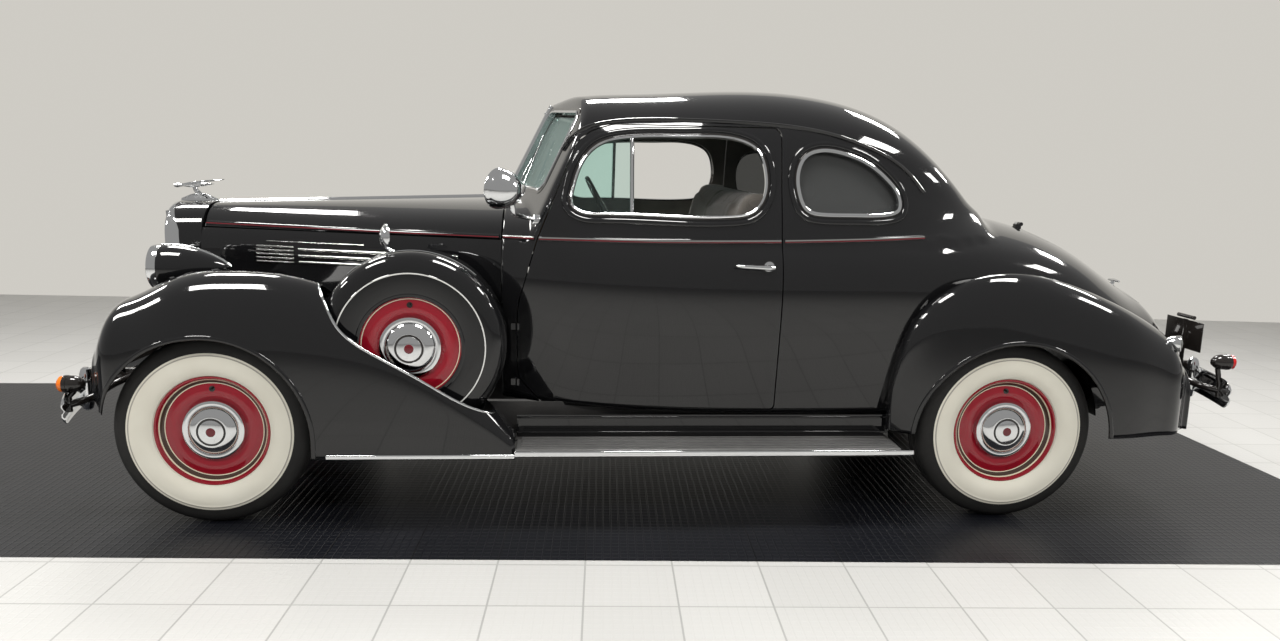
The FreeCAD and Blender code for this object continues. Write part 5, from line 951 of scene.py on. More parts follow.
def buildRearFender():
    surface = fenderSkin("rearSkin", rearFender, False)
    tree = treeOf(surface)
    rows, cols = grid.shape[:2]
    faces = gridFaces(rows, cols, closeCols=True, capped=True)
    closedBody = makeObject("bodySolid", grid.reshape(-1, 3), faces, False)
    fender = cutFender(surface, "rearSource", [
        archCutter(arch["rear"], 0.62), outward(closedBody), boxAt("belowBody", (0, -0.761, 0), (3, 0, 0.4))])
    house = spun("house", mm((0, 20), (0, 427.7), (160, 427.7), (160, 421.7), (6, 421.7), (6, 20)),
                 (arch["rear"], -0.6203, 0.378), acrossLeft, closed=True)
    cutWith(house, boxAt("belowHouse", (0, -1.2, -0.2), (3, 0, 0.43)))
    return joined("rearFenderLeft", [fender, house, archBead(tree, arch["rear"], 0.4, 0.4)]), tree


frontLeft, lipLeft = buildFrontFender()
frontFenders = joined("frontFenders", [frontLeft, mirrored(frontLeft, "frontFenderRight")])
settlePanel(frontFenders, carBody, "front_fenders")
settle(joined("wellLips", [lipLeft, mirrored(lipLeft, "lipRight")]), carBody, chrome)
rearLeft, rearTree = buildRearFender()
rearFenders = joined("rearFenders", [rearLeft, mirrored(rearLeft, "rearFenderRight")])
settlePanel(rearFenders, carBody, "rear_fenders")
print("fenders")


def buildRunningBoard():
    board = {"x0": -0.6505, "x1": 0.909, "outer": 0.94, "inner": 0.761, "top": 0.336, "low": 0.302, "pitch": 0.022}
    x0, x1, outer, top = (board[k] for k in ("x0", "x1", "outer", "top"))
    parts = [boxAt("board", (x0, -outer, board["low"]), (x1, -board["inner"], top), 0.008)]
    for k in range(1, 8):
        y = -outer + board["pitch"] * k
        parts.append(boxAt("rib", (x0 + 0.022, y, top - 0.001), (x1 - 0.022, y + 0.012, top + 0.003), 0.0012))
    sill = [boxAt("sill", (x0, -0.767, top - 0.001), (x1, -0.761, 0.43))]
    sill += [boxAt("sillRidge", (x0, -0.771, z), (x1, -0.766, z + 0.008), 0.002) for z in (0.352, 0.416)]
    edges = [boxAt("boardEdge", (x0 - 0.002, -0.9435, 0.308), (x1 + 0.05, -0.9385, 0.33), 0.002),
             boxAt("frontEdge", (-1.378, -0.9285, 0.295), (x0 - 0.002, -0.9235, 0.312), 0.002)]
    return joined("boardMat", parts), joined("boardSill", sill), joined("boardBright", edges)


mat, sill, edges = buildRunningBoard()
for piece, look, slotName, node in ((mat, rubberAndPaintedSheen, "step_rubber", "running_boards"), (sill, blackPaint, None, None),
                                    (edges, chrome, "bright_trim", None)):
    pair = joined(piece.name + "Pair", [piece, mirrored(piece, piece.name + "Right")])
    settle(pair, carBody, look, node)
print("running boards")
# A dark apron closes the side below the doors, behind the running boards
aprons = []
for side in (-1, 1):
    for name, reach, top in (("apron", 0.696, 0.468), ("apronFoot", 0.8, 0.338)):
        near, far = sorted((side * 0.688, side * reach))
        aprons.append(boxAt(name, (-1.15, near, 0.33), (0.9, far, top), 0.002))
settle(joined("sideAprons", aprons), carBody, chassisPaint)


tyreSide = mm((68, 222), (76, 225.5), (85.5, 240), (91.5, 262), (93, 283), (92.7, 295), (91.7, 304.5), (92, 305.5),
    (91.3, 309.5), (90.7, 310.5), (89, 317.5), (85, 338), (77.5, 356.5), (68.5, 367.5), (60, 373))
tread = mm((44.5, 376.5), (43, 371), (38.5, 371), (37, 377), (20.5, 377.5), (19, 372), (14.5, 372), (13, 378))
discFace = mm((44, 194.5), (42.5, 190.8), (42, 187.5), (42, 184), (46.2, 170), (48, 155), (45.5, 140), (38.5, 126),
    (36, 118))
wheelProfile = mm((-68, 222.5), (68, 222.5), (71, 219), (69.5, 214), (63, 210), (58.5, 207.5), (54.5, 203.5),
    (48, 199)) + discFace + mm((36, 20), (-40, 20), (-40, 45), (26, 45), (26, 140), (-42, 140), (-42, 152), (20, 152),
    (30, 180), (12, 185), (-50, 185), (-60, 200), (-68, 216))
spareProfile = mm((45.5, 195.5)) + discFace + mm((36, 0), (-120, 0), (-120, 195.5))
capProfile = mm((34, 0), (34, 118), (36.5, 121), (50, 120.7), (57, 118), (60.2, 112), (60.3, 105), (58.8, 100.5),
    (59.5, 98.5), (64, 96), (72, 88.5), (78.8, 77), (83.5, 64), (84.7, 57.5), (84.6, 56.2), (83.6, 55.2), (83.6, 48.8),
    (84.8, 47.8), (86.8, 37), (88.2, 22.5), (88.4, 18.2), (89.2, 17.2), (90, 10), (90.4, 0))
coverProfile = mm((-6.5, 196), (-2, 196.5), (0.5, 200), (1, 208), (-1, 212), (0, 220), (1, 286), (2.2, 287.5),
    (2.2, 292.5), (0.8, 294), (0, 310), (-3, 324), (-10, 339), (-21, 352), (-36, 361.5), (-52, 366.5), (-64, 368),
    (-66, 366.5), (-68, 368), (-195, 368), (-196, 364), (-196, 196), (-192, 196), (-192, 360), (-64, 363), (-20, 340),
    (-6.5, 310))
wheelLooks = [wheelRed, creamLine, grooveBrown, chassisPaint]


def wheelSpun(name, profile, place, side, rule, segments=128, degrees=30, closed=True):
    # A profile spun about a wheel's axis, with its faces sorted by distance from the axis and from the wheel's middle
    profile = [(-u, r) for u, r in profile] if side > 0 else profile
    x, y, z = place

    def byPlace(middle, normal):
        return rule(math.hypot(middle.x - x, middle.z - z), (middle.y - y) * side)
    return slotByPlace(spun(name, profile, place, acrossLeft, segments, degrees, closed), byPlace)


def tyreRule(r, out):
    if out <= 0.05 or r > 0.318:
        return 0
    return 2 if 0.305 < r < 0.31 else 1


def wheelRule(r, out):
    if out < 0.03:
        return 3 if r < 0.153 else 0
    if 0.2035 < r < 0.2072 or 0.1876 < r < 0.1907:
        return 1
    return 2 if 0.1907 < r < 0.2035 else 0


def spareRule(r, out):
    return 3 if out < 0.03 else int(0.1876 < r < 0.1907)


def capRule(r, out):
    if 0.048 < r < 0.0562:
        return 1
    return 2 if r < 0.0178 and out > 0.06 else 0


def coverRule(r, out):
    return int(0.2874 < r < 0.2926 and out > 0)


def addCap(name, place, side, body):
    cap = wheelSpun(name, capProfile, place, side, capRule, 96, 28, False)
    settle(cap, body, [chrome, gripBlack, stripeRed])
    x, y, z = place
    stem = tube("valve", [(x, y + side * 0.04, z + 0.166), (x, y + side * 0.062, z + 0.168)], 0.0045, 12)
    hole = tube("valveHole", [(x, y + side * 0.044, z + 0.166), (x, y + side * 0.0485, z + 0.166)], 0.0115, 20)
    settle(joined("valve", [stem, hole]), body, gripBlack)


for end, x, track in (("front", -1.835, 0.7495), ("rear", 1.391, 0.762)):
    for sideName, side in (("left", -1), ("right", 1)):
        where, place = f"{end}_{sideName}", (x, side * track, 0.378)
        body = where + "_wheel"
        tyre = tyreSide + tread
        tyre = tyre + [(-u, r) for u, r in reversed(tyre)] + [(-0.062, 0.214), (0.062, 0.214)]
        settle(wheelSpun(f"tyre_{where}_look", tyre, place, side, tyreRule, degrees=32), body,
               [tyreBlack, whiteWall, wallLine], f"tyre_{where}")
        settle(wheelSpun(f"wheel_{where}_look", wheelProfile, place, side, wheelRule), body, wheelLooks,
               f"wheel_{where}")
        addCap(f"hubcap_{where}", place, side, body)
print("wheels")


def buildCoverMirror():
    # A round mirror on a strap over the cover's crown
    x, y, z = -1.16, -0.77, 1.15
    head = spun("mirrorHead", mm((22, 0), (21, 14), (16, 29), (8, 40), (1, 46.5), (-1, 48), (-4, 48), (-4.5, 45.5),
        (-3, 44.5), (-3, 0)), (x, y, z), (-0.9, -0.42, 0.05), 64, 30)
    stem = [(x + 0.004, y, z - 0.045), (x + 0.035, y, z - 0.062), (x + 0.045, y, z - 0.068)]
    stem = tube("mirrorStem", stem, 0.0055, 14)
    normals = [(math.cos(a), 0, math.sin(a)) for a in np.radians(np.linspace(48, 132, 40))]
    reach = spare["radius"] + 0.0015
    belt = strip("strap", [(spare["x"] + reach * u, y, spare["z"] + reach * v) for u, _, v in normals], normals,
                 mm((-13, 0), (-12, 2.5), (12, 2.5), (13, 0)))
    return joined("coverMirrorLeft", [head, stem, belt])


for side in (-1, 1):
    left = side < 0
    x, z = spare["x"], spare["z"]
    settle(wheelSpun("spareCover", coverProfile, (x, side * spare["outer"], z), side, coverRule, 144, 26), carBody,
           [blackPaint, whiteLine], "spare_covers" if left else None)
    place = (x, side * 0.8106, z)
    settle(wheelSpun("spareDisc", spareProfile, place, side, spareRule), carBody, wheelLooks,
           "spare_wheels" if left else None)
    addCap("spareCap", place, side, carBody)
mirrorLeft = buildCoverMirror()
settle(joined("coverMirrors", [mirrorLeft, mirrored(mirrorLeft, "coverMirrorRight")]), carBody, chrome,
       "cover_mirrors")
print("spares")


hoodTree = treeOf(hoodTopLeft)
belt = {"width": 0.021, "height": 0.0065, "step": 0.03}
for name, onHood, points, body, other in (
        ("beltHood", True, mm((-2022, 1150.5), (-1770, 1147.5), (-1100, 1142.5),
            (-729, 1143)), "left_hood", "right_hood"),
        ("beltCowl", False, mm((-711, 1143), (-584, 1144)), carBody, None),
        ("beltDoor", False, mm((-565, 1144), (-120, 1146), (409, 1154)), "left_door", "right_door"),
        ("beltQuarter", False, mm((425, 1154.5), (750, 1164), (1023, 1174.5)), carBody, None)):
    places, normals = onSkin(hoodTree if onHood else skinTree, evenly(points, belt["step"]))
    painted(strip(name, places, normals, bead(belt["width"], belt["height"], 9, 0.004)), body, None, other)
    red = strip(name + "Red", places, normals, mm((-6.8, 0), (-6.6, 5.8), (-3, 7), (-2.6, 0)))
    pairOf(red, body, stripeRed, None, other)
    # Painted highlight: off the hood, a narrow silver strip along the crest of the black bead stands for the ceiling
    # lamps' reflection there
    if not onHood:
        paintedHighlightProfile = mm((-2.2, 0), (-1.5, 7.6), (3.5, 8), (5, 0))
        pairOf(strip(name + "Bright", places, normals, paintedHighlightProfile), body, dullSilver, None, other)


def windowTrim(name, window, width, height, body, other):
    def around(suffix, margin, profile):
        return skinStrip(name + suffix, skinTree, evenly(windowPath(window, margin), 0.012, True), profile, True)
    half = width / 2
    bright(around("Bright", 0.004, [(-half, -0.012), (-half, height * 0.6), (0, height), (half, height * 0.6),
                                    (half, -0.012)]), body, None, other)
    painted(around("Raised", -0.024, bead(0.024, 0.008, 9, 0.004)), body, None, other)
    pairOf(around("Rubber", -0.004, bead(0.008, 0.003, 5, 0.01)), body, gripBlack, None, other)


windowTrim("doorWindow", doorWindow, 0.009, 0.006, "left_door", "right_door")
windowTrim("quarterWindow", quarterWindow, 0.014, 0.008, carBody, None)
bright(skinStrip("ventBar", skinTree, [(-0.195, z) for z in np.linspace(1.247, 1.557, 12)], mm((-8, -24), (-8, 0),
    (-5, 3), (-1, 0), (1, 0), (5, 3), (8, 0), (8, -24))), "left_door", None, "right_door")
dripPath = throughPoints(mm((-470, 1500), (-405, 1575), (-300, 1612), (-125, 1628), (160, 1627), (410, 1617),
    (600, 1592), (790, 1535), (960, 1440), (1035, 1360)), 60)
painted(skinStrip("dripMoulding", skinTree, evenly(dripPath, 0.02), mm((-10, -3), (-8, 6), (-2, 12), (3, 10), (9, 2),
    (10, -3))), carBody)
print("side trim")


def planeFrame(name, margin, profile):
    flat, normal = screenPane(-1, margin)
    flat = evenly(np.array([tuple(p) for p in flat]), 0.012, True)
    return strip(name, flat, np.tile(tuple(normal), (len(flat), 1)), profile, True)


bright(planeFrame("screenFrame", 0.004, mm((-5, -20), (-5, 4), (0, 7), (5, 4), (5, -20))),
       carBody)
pairOf(planeFrame("screenRubber", -0.007, mm((-9, -20), (-8, 2), (8, 2), (9, -20))), carBody,
       gripBlack)
foot, rise = Vector(screen["foot"]), Vector((screen["run"], 0, screen["rise"]))
ahead = Vector((-screen["rise"], 0, screen["run"])).normalized()
postPath = [tuple(foot + rise * t) for t in np.linspace(0.02, 0.96, 12)]
post = strip("centrePost", postPath, [tuple(ahead)] * 12, mm((-16, -20), (-14, 4), (-6, 9), (6, 9), (14, 4),
    (16, -20)))
settle(post, carBody, chrome)
paneSpots, paneNormal = screenPane(-1)
paneMiddle = sum(paneSpots, Vector()) / len(paneSpots)


def onPane(y, z, lift):
    # A place over the left pane, so far out of its plane
    x = paneMiddle.x - ((y - paneMiddle.y) * paneNormal.y + (z - paneMiddle.z) * paneNormal.z) / paneNormal.x
    return tuple(Vector((x, y, z)) + paneNormal * lift)


def wiperBar(name, radius, *spots):
    return tube(name, throughPoints([onPane(*spot) for spot in spots], 16), radius, 10)


pivot = spun("wiperPivot", mm((-12, 0), (-12, 12), (10, 10), (14, 0)), onPane(-0.215, 1.3, 0.004),
             tuple(paneNormal), 24, 30)
wiper = wiperBar("wiper", 0.0035, (-0.215, 1.3, 0.014), (-0.205, 1.37, 0.02), (-0.19, 1.45, 0.014))
blade = wiperBar("wiperBlade", 0.0045, (-0.225, 1.345, 0.006), (-0.19, 1.45, 0.006), (-0.15, 1.56, 0.006))
pairOf(joined("wiper", [pivot, wiper, blade]), carBody, chrome)

bars = []
for start, finish, heights, width, proud in ((-1.588, -0.897, (1.001, 1.028, 1.055), 0.0135, 0.008),
                                             (-1.78, -1.612, (0.998, 1.0145, 1.031, 1.0475, 1.064), 0.0088, 0.006),
                                             (-1.735, -1.3, (1.0855,), 0.0045, 0.004)):
    for z in heights:
        path = evenly([(start, z), (finish, z)], 0.03)
        bars.append(skinStrip("louvre", sideTree, path, bead(width, proud, 7, 0.001)))
pairOf(joined("louvreBars", bars), carBody, dullSilver, "louvres")

radiator = {"x": -2.205, "back": -2.0413, "half": 0.262, "low": 0.56, "high": 1.232, "draw": 0.012, "bright": 0.062,
            "shares": [(0.74, 0), (0.98, 0.42), (1, 0.7), (0.9, 0.88), (0.5, 0.985), (0, 1)]}


def radiatorOutline(inset):
    height = radiator["high"] - radiator["low"] - 2 * inset
    half = [((radiator["half"] - inset) * u, radiator["low"] + inset + height * v) for u, v in radiator["shares"]]
    return throughPoints(half + [(-u, v) for u, v in half[:-1][::-1]], 181)


def radiatorFront(z):
    return radiator["x"] + radiator["draw"] * np.clip((1.222 - z) / 0.16, 0, 1) ** 0.8


def radiatorRing(name, thickness, steps):
    # Steps are (inset, back), where a back below -0.5 is a place along the car
    rows = []
    for inset, back in steps:
        line = radiatorOutline(inset)
        base = radiatorFront(radiatorOutline(0)[:, 1])
        x = np.full(len(line), back) if back < -0.5 else base + back
        if back == radiator["bright"]:
            x = base + back * np.interp(line[:, 1], (1.12, 1.22), (1, 0.35))
        rows.append(np.column_stack([x, -line[:, 0], line[:, 1]]))
    return sharpen(outward(thickened(gridObject(name, rows), thickness)), 40)


shell = radiatorRing("radiatorShell", 0.004, [(0.012, radiator["back"]), (0.0005, radiator["back"]),
                                              (0, radiator["back"] - 0.004), (0, radiator["bright"])])
settlePanel(shell, carBody, "radiator_shell")
ring = radiatorRing("radiatorRing", 0.003, mm((0, 62), (0, 16), (1.5, 8), (5, 3), (10, 1), (18, -0.5), (28, 4),
    (32, 12), (32, 60)))
settle(ring, carBody, chrome)
barTop = radiatorOutline(0.033)[90, 1]
bars = []
for k in range(-13, 14):
    y = k * 0.0165
    zs = np.linspace(0.62, barTop, 24)
    near = radiator["x"] + 0.006
    x = near + (radiatorFront(zs) + 0.008 - near) * (abs(y) / 0.23) ** 1.5
    bars.append(tube("grilleBar", np.column_stack([x, np.full(24, y), zs]), 0.0048, 8))
settle(joined("grilleBars", bars), carBody, chrome, "grille_bars")
print("front end")


lampAt, lampLength = (-2.129, -0.52, 0.99), 0.852
lampBody = mm((55, 90.5), (95, 89.5), (141, 84.5), (185, 75.5), (230, 62.5), (272, 47), (310, 29.5), (338, 12.5))


def lampSpun(name, profile):
    return spun("headlamp_" + name, [(along * lampLength, r) for along, r in profile], lampAt, forward, 80, 30)


body = lampSpun("body", mm((12, 0), (12, 80), (28, 88.5)) + lampBody + mm((352, 0)))
rim = lampSpun("rim", mm((4, 79), (-6, 80), (-10, 84), (-6, 88.5), (6, 91), (30, 91.2), (36, 90), (36, 86)))
lens = lampSpun("lens", mm((10, 0), (10, 79.5), (-2, 80), (-9, 70), (-16, 50), (-20, 25), (-21.5, 0)))
bulb = spun("reflector", mm((9, 0), (9, 78), (9.5, 0)), lampAt, forward, 48, 30)
crest = throughPoints([(lampAt[0] + u * lampLength, lampAt[1], lampAt[2] + r + 0.0005)
                       for u, r in mm((34, 90)) + lampBody + mm((350, 2))], 40)
slope = np.gradient(crest, axis=0)
crestNormals = unit(np.column_stack([-slope[:, 2], np.zeros(40), slope[:, 0]]))
crestStrip = strip("lampCrest", crest, crestNormals, bead(0.011, 0.005, 7, 0.002))
stand = tube("lampStand", mm((-2050, -520, 940), (-2042, -520, 915), (-2035, -522, 870)),
             [0.034, 0.03, 0.04], 24)
painted(joined("headlampBody", [body, stand]), carBody, "headlamps")
bright(joined("headlampBright", [rim, crestStrip]), carBody)
pairOf(bulb, carBody, dullSilver)
pairOf(lens, carBody, lampGlass, "headlamp_lenses")

spotAt, spotAxis = (-0.688, -0.757, 1.338), (0.8, -0.59, -0.1)
head = spun("spotlight_head", mm((-48, 70), (-54, 72), (-56, 77), (-51, 81), (-40, 81.5), (-34, 78.5), (-22, 78),
    (-4, 74), (14, 65.5), (30, 54), (44, 38.5), (53, 21), (56, 0)), spotAt, spotAxis, 64, 30)
glass = spun("spotlight_glass", mm((-40, 0), (-42, 70), (-50, 71), (-55, 50), (-58, 22),
    (-59, 0)), spotAt, spotAxis, 64, 30)
skinSpot = tuple(skinTree.find_nearest(Vector((-0.6, -0.66, 1.228)))[0])
boss = spun("spotBoss", mm((-6, 0), (-6, 22), (4, 22), (14, 14), (18, 0)), skinSpot,
            (-0.3, -1, 0.1), 32, 30)
armPath = mm((-668, -748, 1272), (-664, -742, 1250), (-640, -700, 1232)) + [skinSpot]
arm = tube("spotArm", throughPoints(armPath, 20), 0.0085)
collar = tube("spotCollar", [(-0.672, -0.75, 1.28), (-0.666, -0.745, 1.256)], [0.014, 0.01], 20)
settle(joined("spotlightHead", [head, arm, boss, collar]), carBody, chrome, "spotlight")
settle(glass, carBody, lampGlass)

tailPlace = rearTree.ray_cast(Vector((2.11, -3, 0.751)), Vector((0, 1, 0)))[0]
tailAt, tailAxis = (tailPlace.x, tailPlace.y + 0.006, 0.751), (0.8, -0.6, 0.02)
bright(spun("tailLamp_case", mm((-30, 0), (-20, 20), (0, 30), (18, 33), (30, 34.5), (36, 34), (38, 30),
    (36, 28.5)), tailAt, tailAxis, 48, 30),
       carBody, "tail_lamps")
pairOf(spun("tailLamp_red", mm((30, 0), (34, 29), (40, 22), (43, 11), (44, 0)), tailAt,
            tailAxis, 48, 30), carBody, lampGlass)


def signalLamp(name, base, axis, lensMaterial, node=None):
    shell = mm((10, 0), (10, 33.5), (22, 34.5), (45, 33), (62, 27), (76, 16), (84, 0))
    lens = mm((12, 0), (12, 32), (-12, 31.5), (-19, 24.5), (-22, 12), (-23, 0))
    ring = mm((14, 32), (4, 32.5), (3, 35), (10, 36), (18, 35.5), (20, 33))
    for label, look, slotName, replaced, profile in (("_shell", gripBlack, None, node, shell),
                                                     ("_lens", lensMaterial, "amber_lens", None, lens),
                                                     ("_ring", gripBlack, None, None, ring)):
        pairOf(spun(name + label, profile, base, axis, 40, 30), carBody, look, replaced)


signalLamp("frontSignal", (-2.441, -0.69, 0.536), forward, amber, "signal_lamps")
signalLamp("rearSignal", (2.458, -0.69, 0.648), (-1, 0, 0), redLens)

bumper = {"reach": 0.8, "bow": 0.13, "end": 0.06, "guard": 0.43}


def bumperFace(face, toward, y, gap):
    return face + toward * (bumper["bow"] * (y / bumper["reach"]) ** 2 + gap)


def buildBumper(name, face, toward, middle):
    full, flat = bumper["reach"], bumper["reach"] - bumper["end"]
    ys = np.concatenate([np.linspace(-full, -flat, 10), np.linspace(-flat, flat, 61)[1:-1],
                         np.linspace(flat, full, 10)])
    outer = mm((61, 3), (55, 11), (40, 15.5), (22, 14), (9, 7.5))
    inner = mm((58, 1), (40, 10.5), (22, 9))
    section = [(-v, out) for v, out in outer] + [(0, 0.005)] + outer[::-1] + inner + [(0, 0.0005)] \
        + [(-v, out) for v, out in inner[::-1]]
    rows = []
    for y in ys:
        edge = max((full - abs(y)) / bumper["end"], 0)
        squeeze = 1 if edge >= 1 else 0.55 + 0.45 * math.sqrt(max(1 - (1 - edge) ** 2, 0))
        x = bumperFace(face, toward, y, 0.016)
        rows.append([(x - toward * out, y, middle + v * squeeze) for v, out in section])
    blade = edited(gridObject(name, rows, closeCols=True), bpy.ops.mesh.region_to_loop, bpy.ops.mesh.edge_face_add)
    sharpen(outward(blade), 40)
    half = mm((95, 0), (93.5, 10), (86, 19), (66, 25.5), (30, 27.5))
    place = bumperFace(face, toward, bumper["guard"], 0.006) + toward * 0.01
    guards = [spun("guard", [(-v, r) for v, r in half] + half[::-1], (place, side * bumper["guard"], middle), upward,
                   32, 30) for side in (-1, 1)]
    return joined(name, [blade] + guards)


irons = []
for name, node, face, toward, middle, low, high, end, signal, top in (
        ("frontBumper", "front_bumper", -2.535, 1, 0.452, 0.469, 0.53, -2.302, -2.405, 0.536),
        ("rearBumper", "rear_bumper", 2.535, -1, 0.52, 0.526, 0.587, 2.302, 2.41, 0.648)):
    settle(buildBumper(name, face, toward, middle), carBody, chrome, node)
    near, far = sorted((bumperFace(face, toward, 0.372, 0.01), end))
    irons.append(boxAt("bracket", (near, -0.384, low), (far, -0.36, high), 0.004))
    near = bumperFace(face, toward, 0.69, 0.012)
    irons.append(tube("signalPost", [(near, -0.69, middle - 0.03), (near, -0.69, middle + 0.03),
                                     (signal, -0.69, top - 0.03)], 0.011, 14))
    arm = [(near, -0.69, middle), (near + toward * 0.05, -0.64, middle + 0.01),
           (end - toward * 0.05, -0.45, middle + 0.03), (end, -0.385, low + 0.03)]
    irons.append(tube("bumperArm", throughPoints(arm, 16), 0.015, 14))
pairOf(joined("bumperIrons", irons), carBody, gripBlack)
plate = [boxAt("plate", (2.401, -0.575, 0.664), (2.405, -0.32, 0.798), 0.001),
         boxAt("plateStem", (2.4005, -0.467, 0.52), (2.4045, -0.438, 0.8), 0.001),
         tube("plateLamp", [(2.403, -0.509, 0.8125), (2.403, -0.397, 0.8125)], 0.009)]
settle(joined("rearPlate", plate), carBody, gripBlack, "rear_plate")
print("lamps and bumpers")

settle(tube("hoodHinge", [(-2.04, 0, 1.2355), (-0.722, 0, 1.2865)], 0.006, 14), carBody, chrome)


def buildOrnament():
    # A plain winged dart on a stepped foot, of no maker's design
    x0, z0 = -2.13, 1.23
    step = spun("ornamentFoot", mm((0, 0), (0, 30), (7, 29), (11, 22), (16, 14), (20, 0)),
                (x0, 0, z0), upward, 32, 30)
    places = readRows(step.data.vertices, "co")
    step.data.vertices.foreach_set("co", ((places - (x0, 0, z0)) * (2.8, 0.9, 2) + (x0, 0, z0)).ravel())
    rise = throughPoints(mm((-2112, 0, 1243), (-2128, 0, 1262), (-2145, 0, 1282), (-2150, 0, 1300)), 16)
    neck = tube("ornamentNeck", rise, [0.014 - 0.0045 * t / 15 for t in range(16)])
    dart = spun("ornamentBody", mm((-104, 0), (-98, 8), (-86, 11.5), (-74, 8), (-60, 6.5), (-30, 12.5), (0, 13.5),
        (40, 8), (80, 0)),
                (-2.14, 0, 1.306), (1, 0, 0.05), 32, 30)
    outline = mm((-2165, 6), (-2140, 30), (-2085, 50), (-2035, 56), (-2060, 40), (-2100, 26), (-2120, 6))
    wings = []
    for side in (-1, 1):
        verts = [(x, side * y, 1.309 + y * 0.28 + (x + 2.165) * 0.04) for x, y in outline]
        wing = modified(makeObject("wing", verts, [tuple(range(len(verts)))]), "SOLIDIFY", thickness=0.004, offset=0)
        wings.append(sharpen(bevelled(wing, 0.0012), 40))
    return joined("ornament", [step, neck, dart] + wings)


settle(buildOrnament(), carBody, chrome, "hood_ornament")


def buildDoorHandle():
    x, y, z = skinTree.ray_cast(Vector((0.356, -3, 1.055)), Vector((0, 1, 0)))[0]
    rose = spun("handleRose", mm((-4, 0), (-4, 22), (4, 21.5), (9, 15), (12, 0)), (x, y, z),
                acrossLeft, 36, 30)
    stem = tube("handleStem", [(x, y, 1.055), (x, y - 0.036, 1.055)], 0.0085, 20)
    lever = throughPoints([(x + 0.016, y - 0.038, 1.0545), (x - 0.01, y - 0.041, 1.055), (x - 0.06, y - 0.043, 1.057),
                           (x - 0.105, y - 0.04, 1.0585), (x - 0.138, y - 0.034, 1.06)], 24)
    radii = np.interp(np.arange(24), [0, 3, 10, 19, 23], [0.007, 0.0115, 0.0085, 0.008, 0.004])
    grip = tube("handleLever", lever, radii, 18)
    return joined("doorHandle", [rose, stem, grip])


handle = buildDoorHandle()
handleRight = mirrored(handle, "doorHandleRight")
settle(handle, "left_door", chrome, "door_handle_left")
settle(handleRight, "right_door", chrome, "door_handle_right")
deck = topAt(2.285)
lidStem = tube("lidStem", [(2.29, 0, deck - 0.004), (2.312, 0, deck + 0.03)], [0.014, 0.008], 20)
lidBar = tube("lidBar", [(2.313, -0.045, deck + 0.032), (2.313, 0, deck + 0.034), (2.313, 0.045, deck + 0.032)],
              [0.005, 0.0085, 0.005])
settle(joined("lidHandle", [lidStem, lidBar]), "rear_lid", chrome, "lid_handle")
barrels = [tube("barrel", [(1.669, y, 1.2083), (1.669, y + 0.027, 1.2083)], 0.009) for y in (-0.231, 0.204)]
settle(joined("lidBarrels", barrels), "rear_lid", chrome)
print("trim")


def paddedSeat(node, name):
    # The plain cushion swells under a little pressure, so that its faces crown and its corners round off
    pad = {"voxel": 0.018, "pressure": 4, "cap": 0.02, "frames": 20, "channel": 0.16}
    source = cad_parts[node]
    seat = copied(source, name)
    place = source.matrix_world.copy()
    seat.parent = None
    seat.matrix_world = place
    alone(seat)
    bpy.ops.object.transform_apply(location=True, rotation=True, scale=True)
    modified(seat, "REMESH", mode="VOXEL", voxel_size=pad["voxel"])
    rest = readRows(seat.data.vertices, "co")
    cloth = seat.modifiers.new("swell", "CLOTH")
    cloth.settings.quality = 4
    cloth.settings.tension_stiffness = cloth.settings.compression_stiffness = 20
    cloth.settings.use_pressure = True
    cloth.settings.uniform_pressure_force = pad["pressure"]
    cloth.settings.effector_weights.gravity = 0
    for number in range(1, pad["frames"] + 1):
        scene.frame_set(number)
    applied(seat)
    scene.frame_set(1)
    move = readRows(seat.data.vertices, "co") - rest
    far = np.linalg.norm(move, axis=1, keepdims=True)
    move *= np.minimum(1, pad["cap"] / np.maximum(far, 1e-6))
    low = np.clip((rest[:, 2] - rest[:, 2].min() - 0.02) / 0.08, 0, 1)
    placed = rest + move * low[:, None]
    # Sewn channels run up the backs and across the cushions, deeper at the middle where the bench is parted
    normals = readRows(seat.data.vertices, "normal")
    near = np.abs((placed[:, 1] + pad["channel"] / 2) % pad["channel"] - pad["channel"] / 2)
    dent = 0.007 * np.exp(-(near / 0.012) ** 2) + 0.014 * np.exp(-(placed[:, 1] / 0.018) ** 2)
    dent *= (np.abs(normals[:, 1]) < 0.5) * low
    seat.data.vertices.foreach_set("co", (placed - normals * dent[:, None]).ravel())
    modified(seat, "SUBSURF", levels=1, render_levels=1)
    seat.data.polygons.foreach_set("use_smooth", [True] * len(seat.data.polygons))
    settle(seat, carBody, seatCloth, node)
    print(name, len(seat.data.polygons))


paddedSeat("front_seat", "frontBench")
paddedSeat("rear_seat", "rearBench")


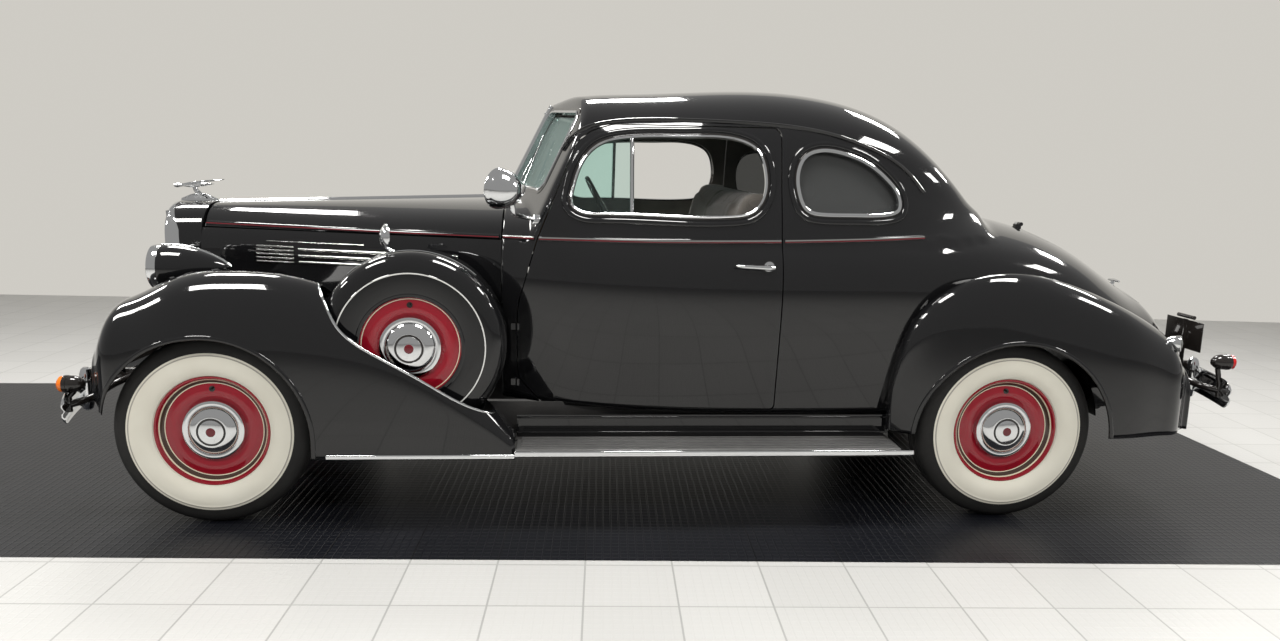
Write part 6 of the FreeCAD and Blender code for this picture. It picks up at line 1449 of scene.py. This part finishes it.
def buildDials():
    # Blank dials, a row of knobs and a glovebox outline on the dashboard
    x, z = -0.513, 1.165
    dials, faces = [], []
    for y, r in ((-0.43, 0.062), (-0.27, 0.062), (-0.04, 0.04)):
        rim = [(0, r + 0.004), (0.006, r + 0.004), (0.008, r), (0.006, r - 0.004), (0.001, r - 0.005)]
        dials.append(spun("dialRim", rim, (x, y, z), forward, 48, 30))
        face = [(0, 0), (0, r), (0.002, r - 0.003), (0.002, 0)]
        faces.append(spun("dialFace", face, (x, y, z), forward, 48, 30))
        dials.append(tube("needle", [(x + 0.004, y, z), (x + 0.004, y + r * 0.45, z + r * 0.45)], 0.0016, 8))
    for k in range(5):
        y = -0.13 + k * 0.055 + (0.02 if k > 1 else 0)
        dials.append(spun("knob", mm((0, 0), (0, 6), (16, 5), (18, 11), (26, 11), (29, 0)),
                          (x + 0.004, y, 1.1), forward, 20, 30))
    lines = [boxAt("gloveLine", (x - 0.004, 0.2, z), (x + 0.0015, 0.56, z + 0.003)) for z in (1.1, 1.205)]
    lines += [boxAt("gloveEdge", (x - 0.004, y, 1.1), (x + 0.0015, y + 0.003, 1.208)) for y in (0.2, 0.557)]
    settle(joined("dialRims", dials + lines), carBody, chrome)
    settle(joined("dialFaces", faces), carBody, gripBlack)


buildDials()
tilt = math.radians(28)
wheelAxis = Vector((math.cos(tilt), 0, math.sin(tilt)))
hornAt = Vector((-0.269, -0.36, 1.199)) + wheelAxis * 0.012
ringSection = [(0.004 * math.cos(a), 0.082 + 0.004 * math.sin(a)) for a in np.linspace(0, 2 * math.pi, 9)[:-1]]
hornRing = spun("hornRing", ringSection, hornAt, wheelAxis, 64, 60, True)
hornCap = spun("hornCap", mm((-4, 0), (-4, 30), (8, 29), (13, 20), (15, 0)), hornAt,
               wheelAxis, 40, 30)
spokes = [tube("hornSpoke", [tuple(hornAt + Vector((0, side * far, 0))) for far in (0.028, 0.082)], 0.0035, 10)
          for side in (-1, 1)]
settle(joined("hornParts", [hornRing, hornCap] + spokes), "steering", chrome)
mirrorGlass = boxAt("cabinMirror", (-0.5, -0.105, 1.585), (-0.488, 0.105, 1.64), 0.008)
mirrorStem = tube("cabinMirrorStem", [(-0.505, 0, 1.618), (-0.54, 0, 1.65), (-0.556, 0, 1.668)], 0.005, 12)
settle(joined("cabinMirror", [mirrorGlass, mirrorStem]), carBody, chrome)
pedals = []
for y, w in ((-0.44, 0.055), (-0.33, 0.055), (-0.23, 0.04)):
    pedals.append(boxAt("pedal", (-0.56, y - w / 2, 0.64), (-0.548, y + w / 2, 0.71), 0.004))
    pedals.append(tube("pedalStem", [(-0.556, y, 0.65), (-0.6, y, 0.6), (-0.64, y, 0.6)], 0.007, 10))
settle(joined("pedals", pedals), carBody, gripBlack)
lever = tube("gearLever", throughPoints([(-0.33, 0, 0.56), (-0.3, 0, 0.7), (-0.215, 0.01, 0.88),
                                         (-0.2, 0.012, 0.96)], 24), 0.0075, 14)
knob = spun("gearKnob", mm((-24, 0), (-20, 14), (0, 24), (16, 18), (24, 0)), (-0.199, 0.012, 0.972),
            upward, 32, 40)
settle(joined("gearLever", [lever, knob]), carBody, gripBlack)
fittings = []
for x, z, length in ((0.16, 1.02, -0.085), (-0.1, 1.02, 0.075)):
    fittings.append(spun("crankRose", mm((0, 0), (0, 20), (8, 18), (12, 0)), (x, -0.737, z), (0, 1, 0),
                         28, 30))
    fittings.append(tube("crank", [(x, -0.728, z), (x + length, -0.716, z - 0.02)], 0.006, 12))
armrest = boxAt("doorPull", (-0.02, -0.742, 0.955), (0.24, -0.7, 0.985), 0.01)
pairOf(joined("doorFittings", fittings), "left_door", chrome, otherBody="right_door")
pairOf(armrest, "left_door", seatCloth, otherBody="right_door")
print("cabin")


# Solids that show as they are, where no look piece replaces them
keptNodes = {
    chassisPaint: ("chassis_frame", "front_suspension", "rear_axle", "knuckle_left", "knuckle_right", "fuel_tank"),
    iron: ("engine_block",), steel: ("drive_shaft", "exhaust_system"), carpet: ("floor_pan", "rear_shelf"),
    gripBlack: ("steering_column", "steering_wheel"), woodGrain: ("dashboard",), innerPaint: ("radiator_core",),
    chrome: ("hood_hinge_rod",), screenGlass: ("fixed_glass", "vent_glass_left", "vent_glass_right")}
for name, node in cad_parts.items():
    node.data.materials.clear()
    node.data.materials.append(next((look for look, names in keptNodes.items() if name in names), blackPaint))
    if name == "fixed_glass":
        node.data.materials.append(quarterGlass)
        for face in node.data.polygons:
            face.material_index = int(abs(face.center.y) > 0.45 and face.center.x > 0.3)
bpy.data.objects.remove(skin)
print("all pieces placed")
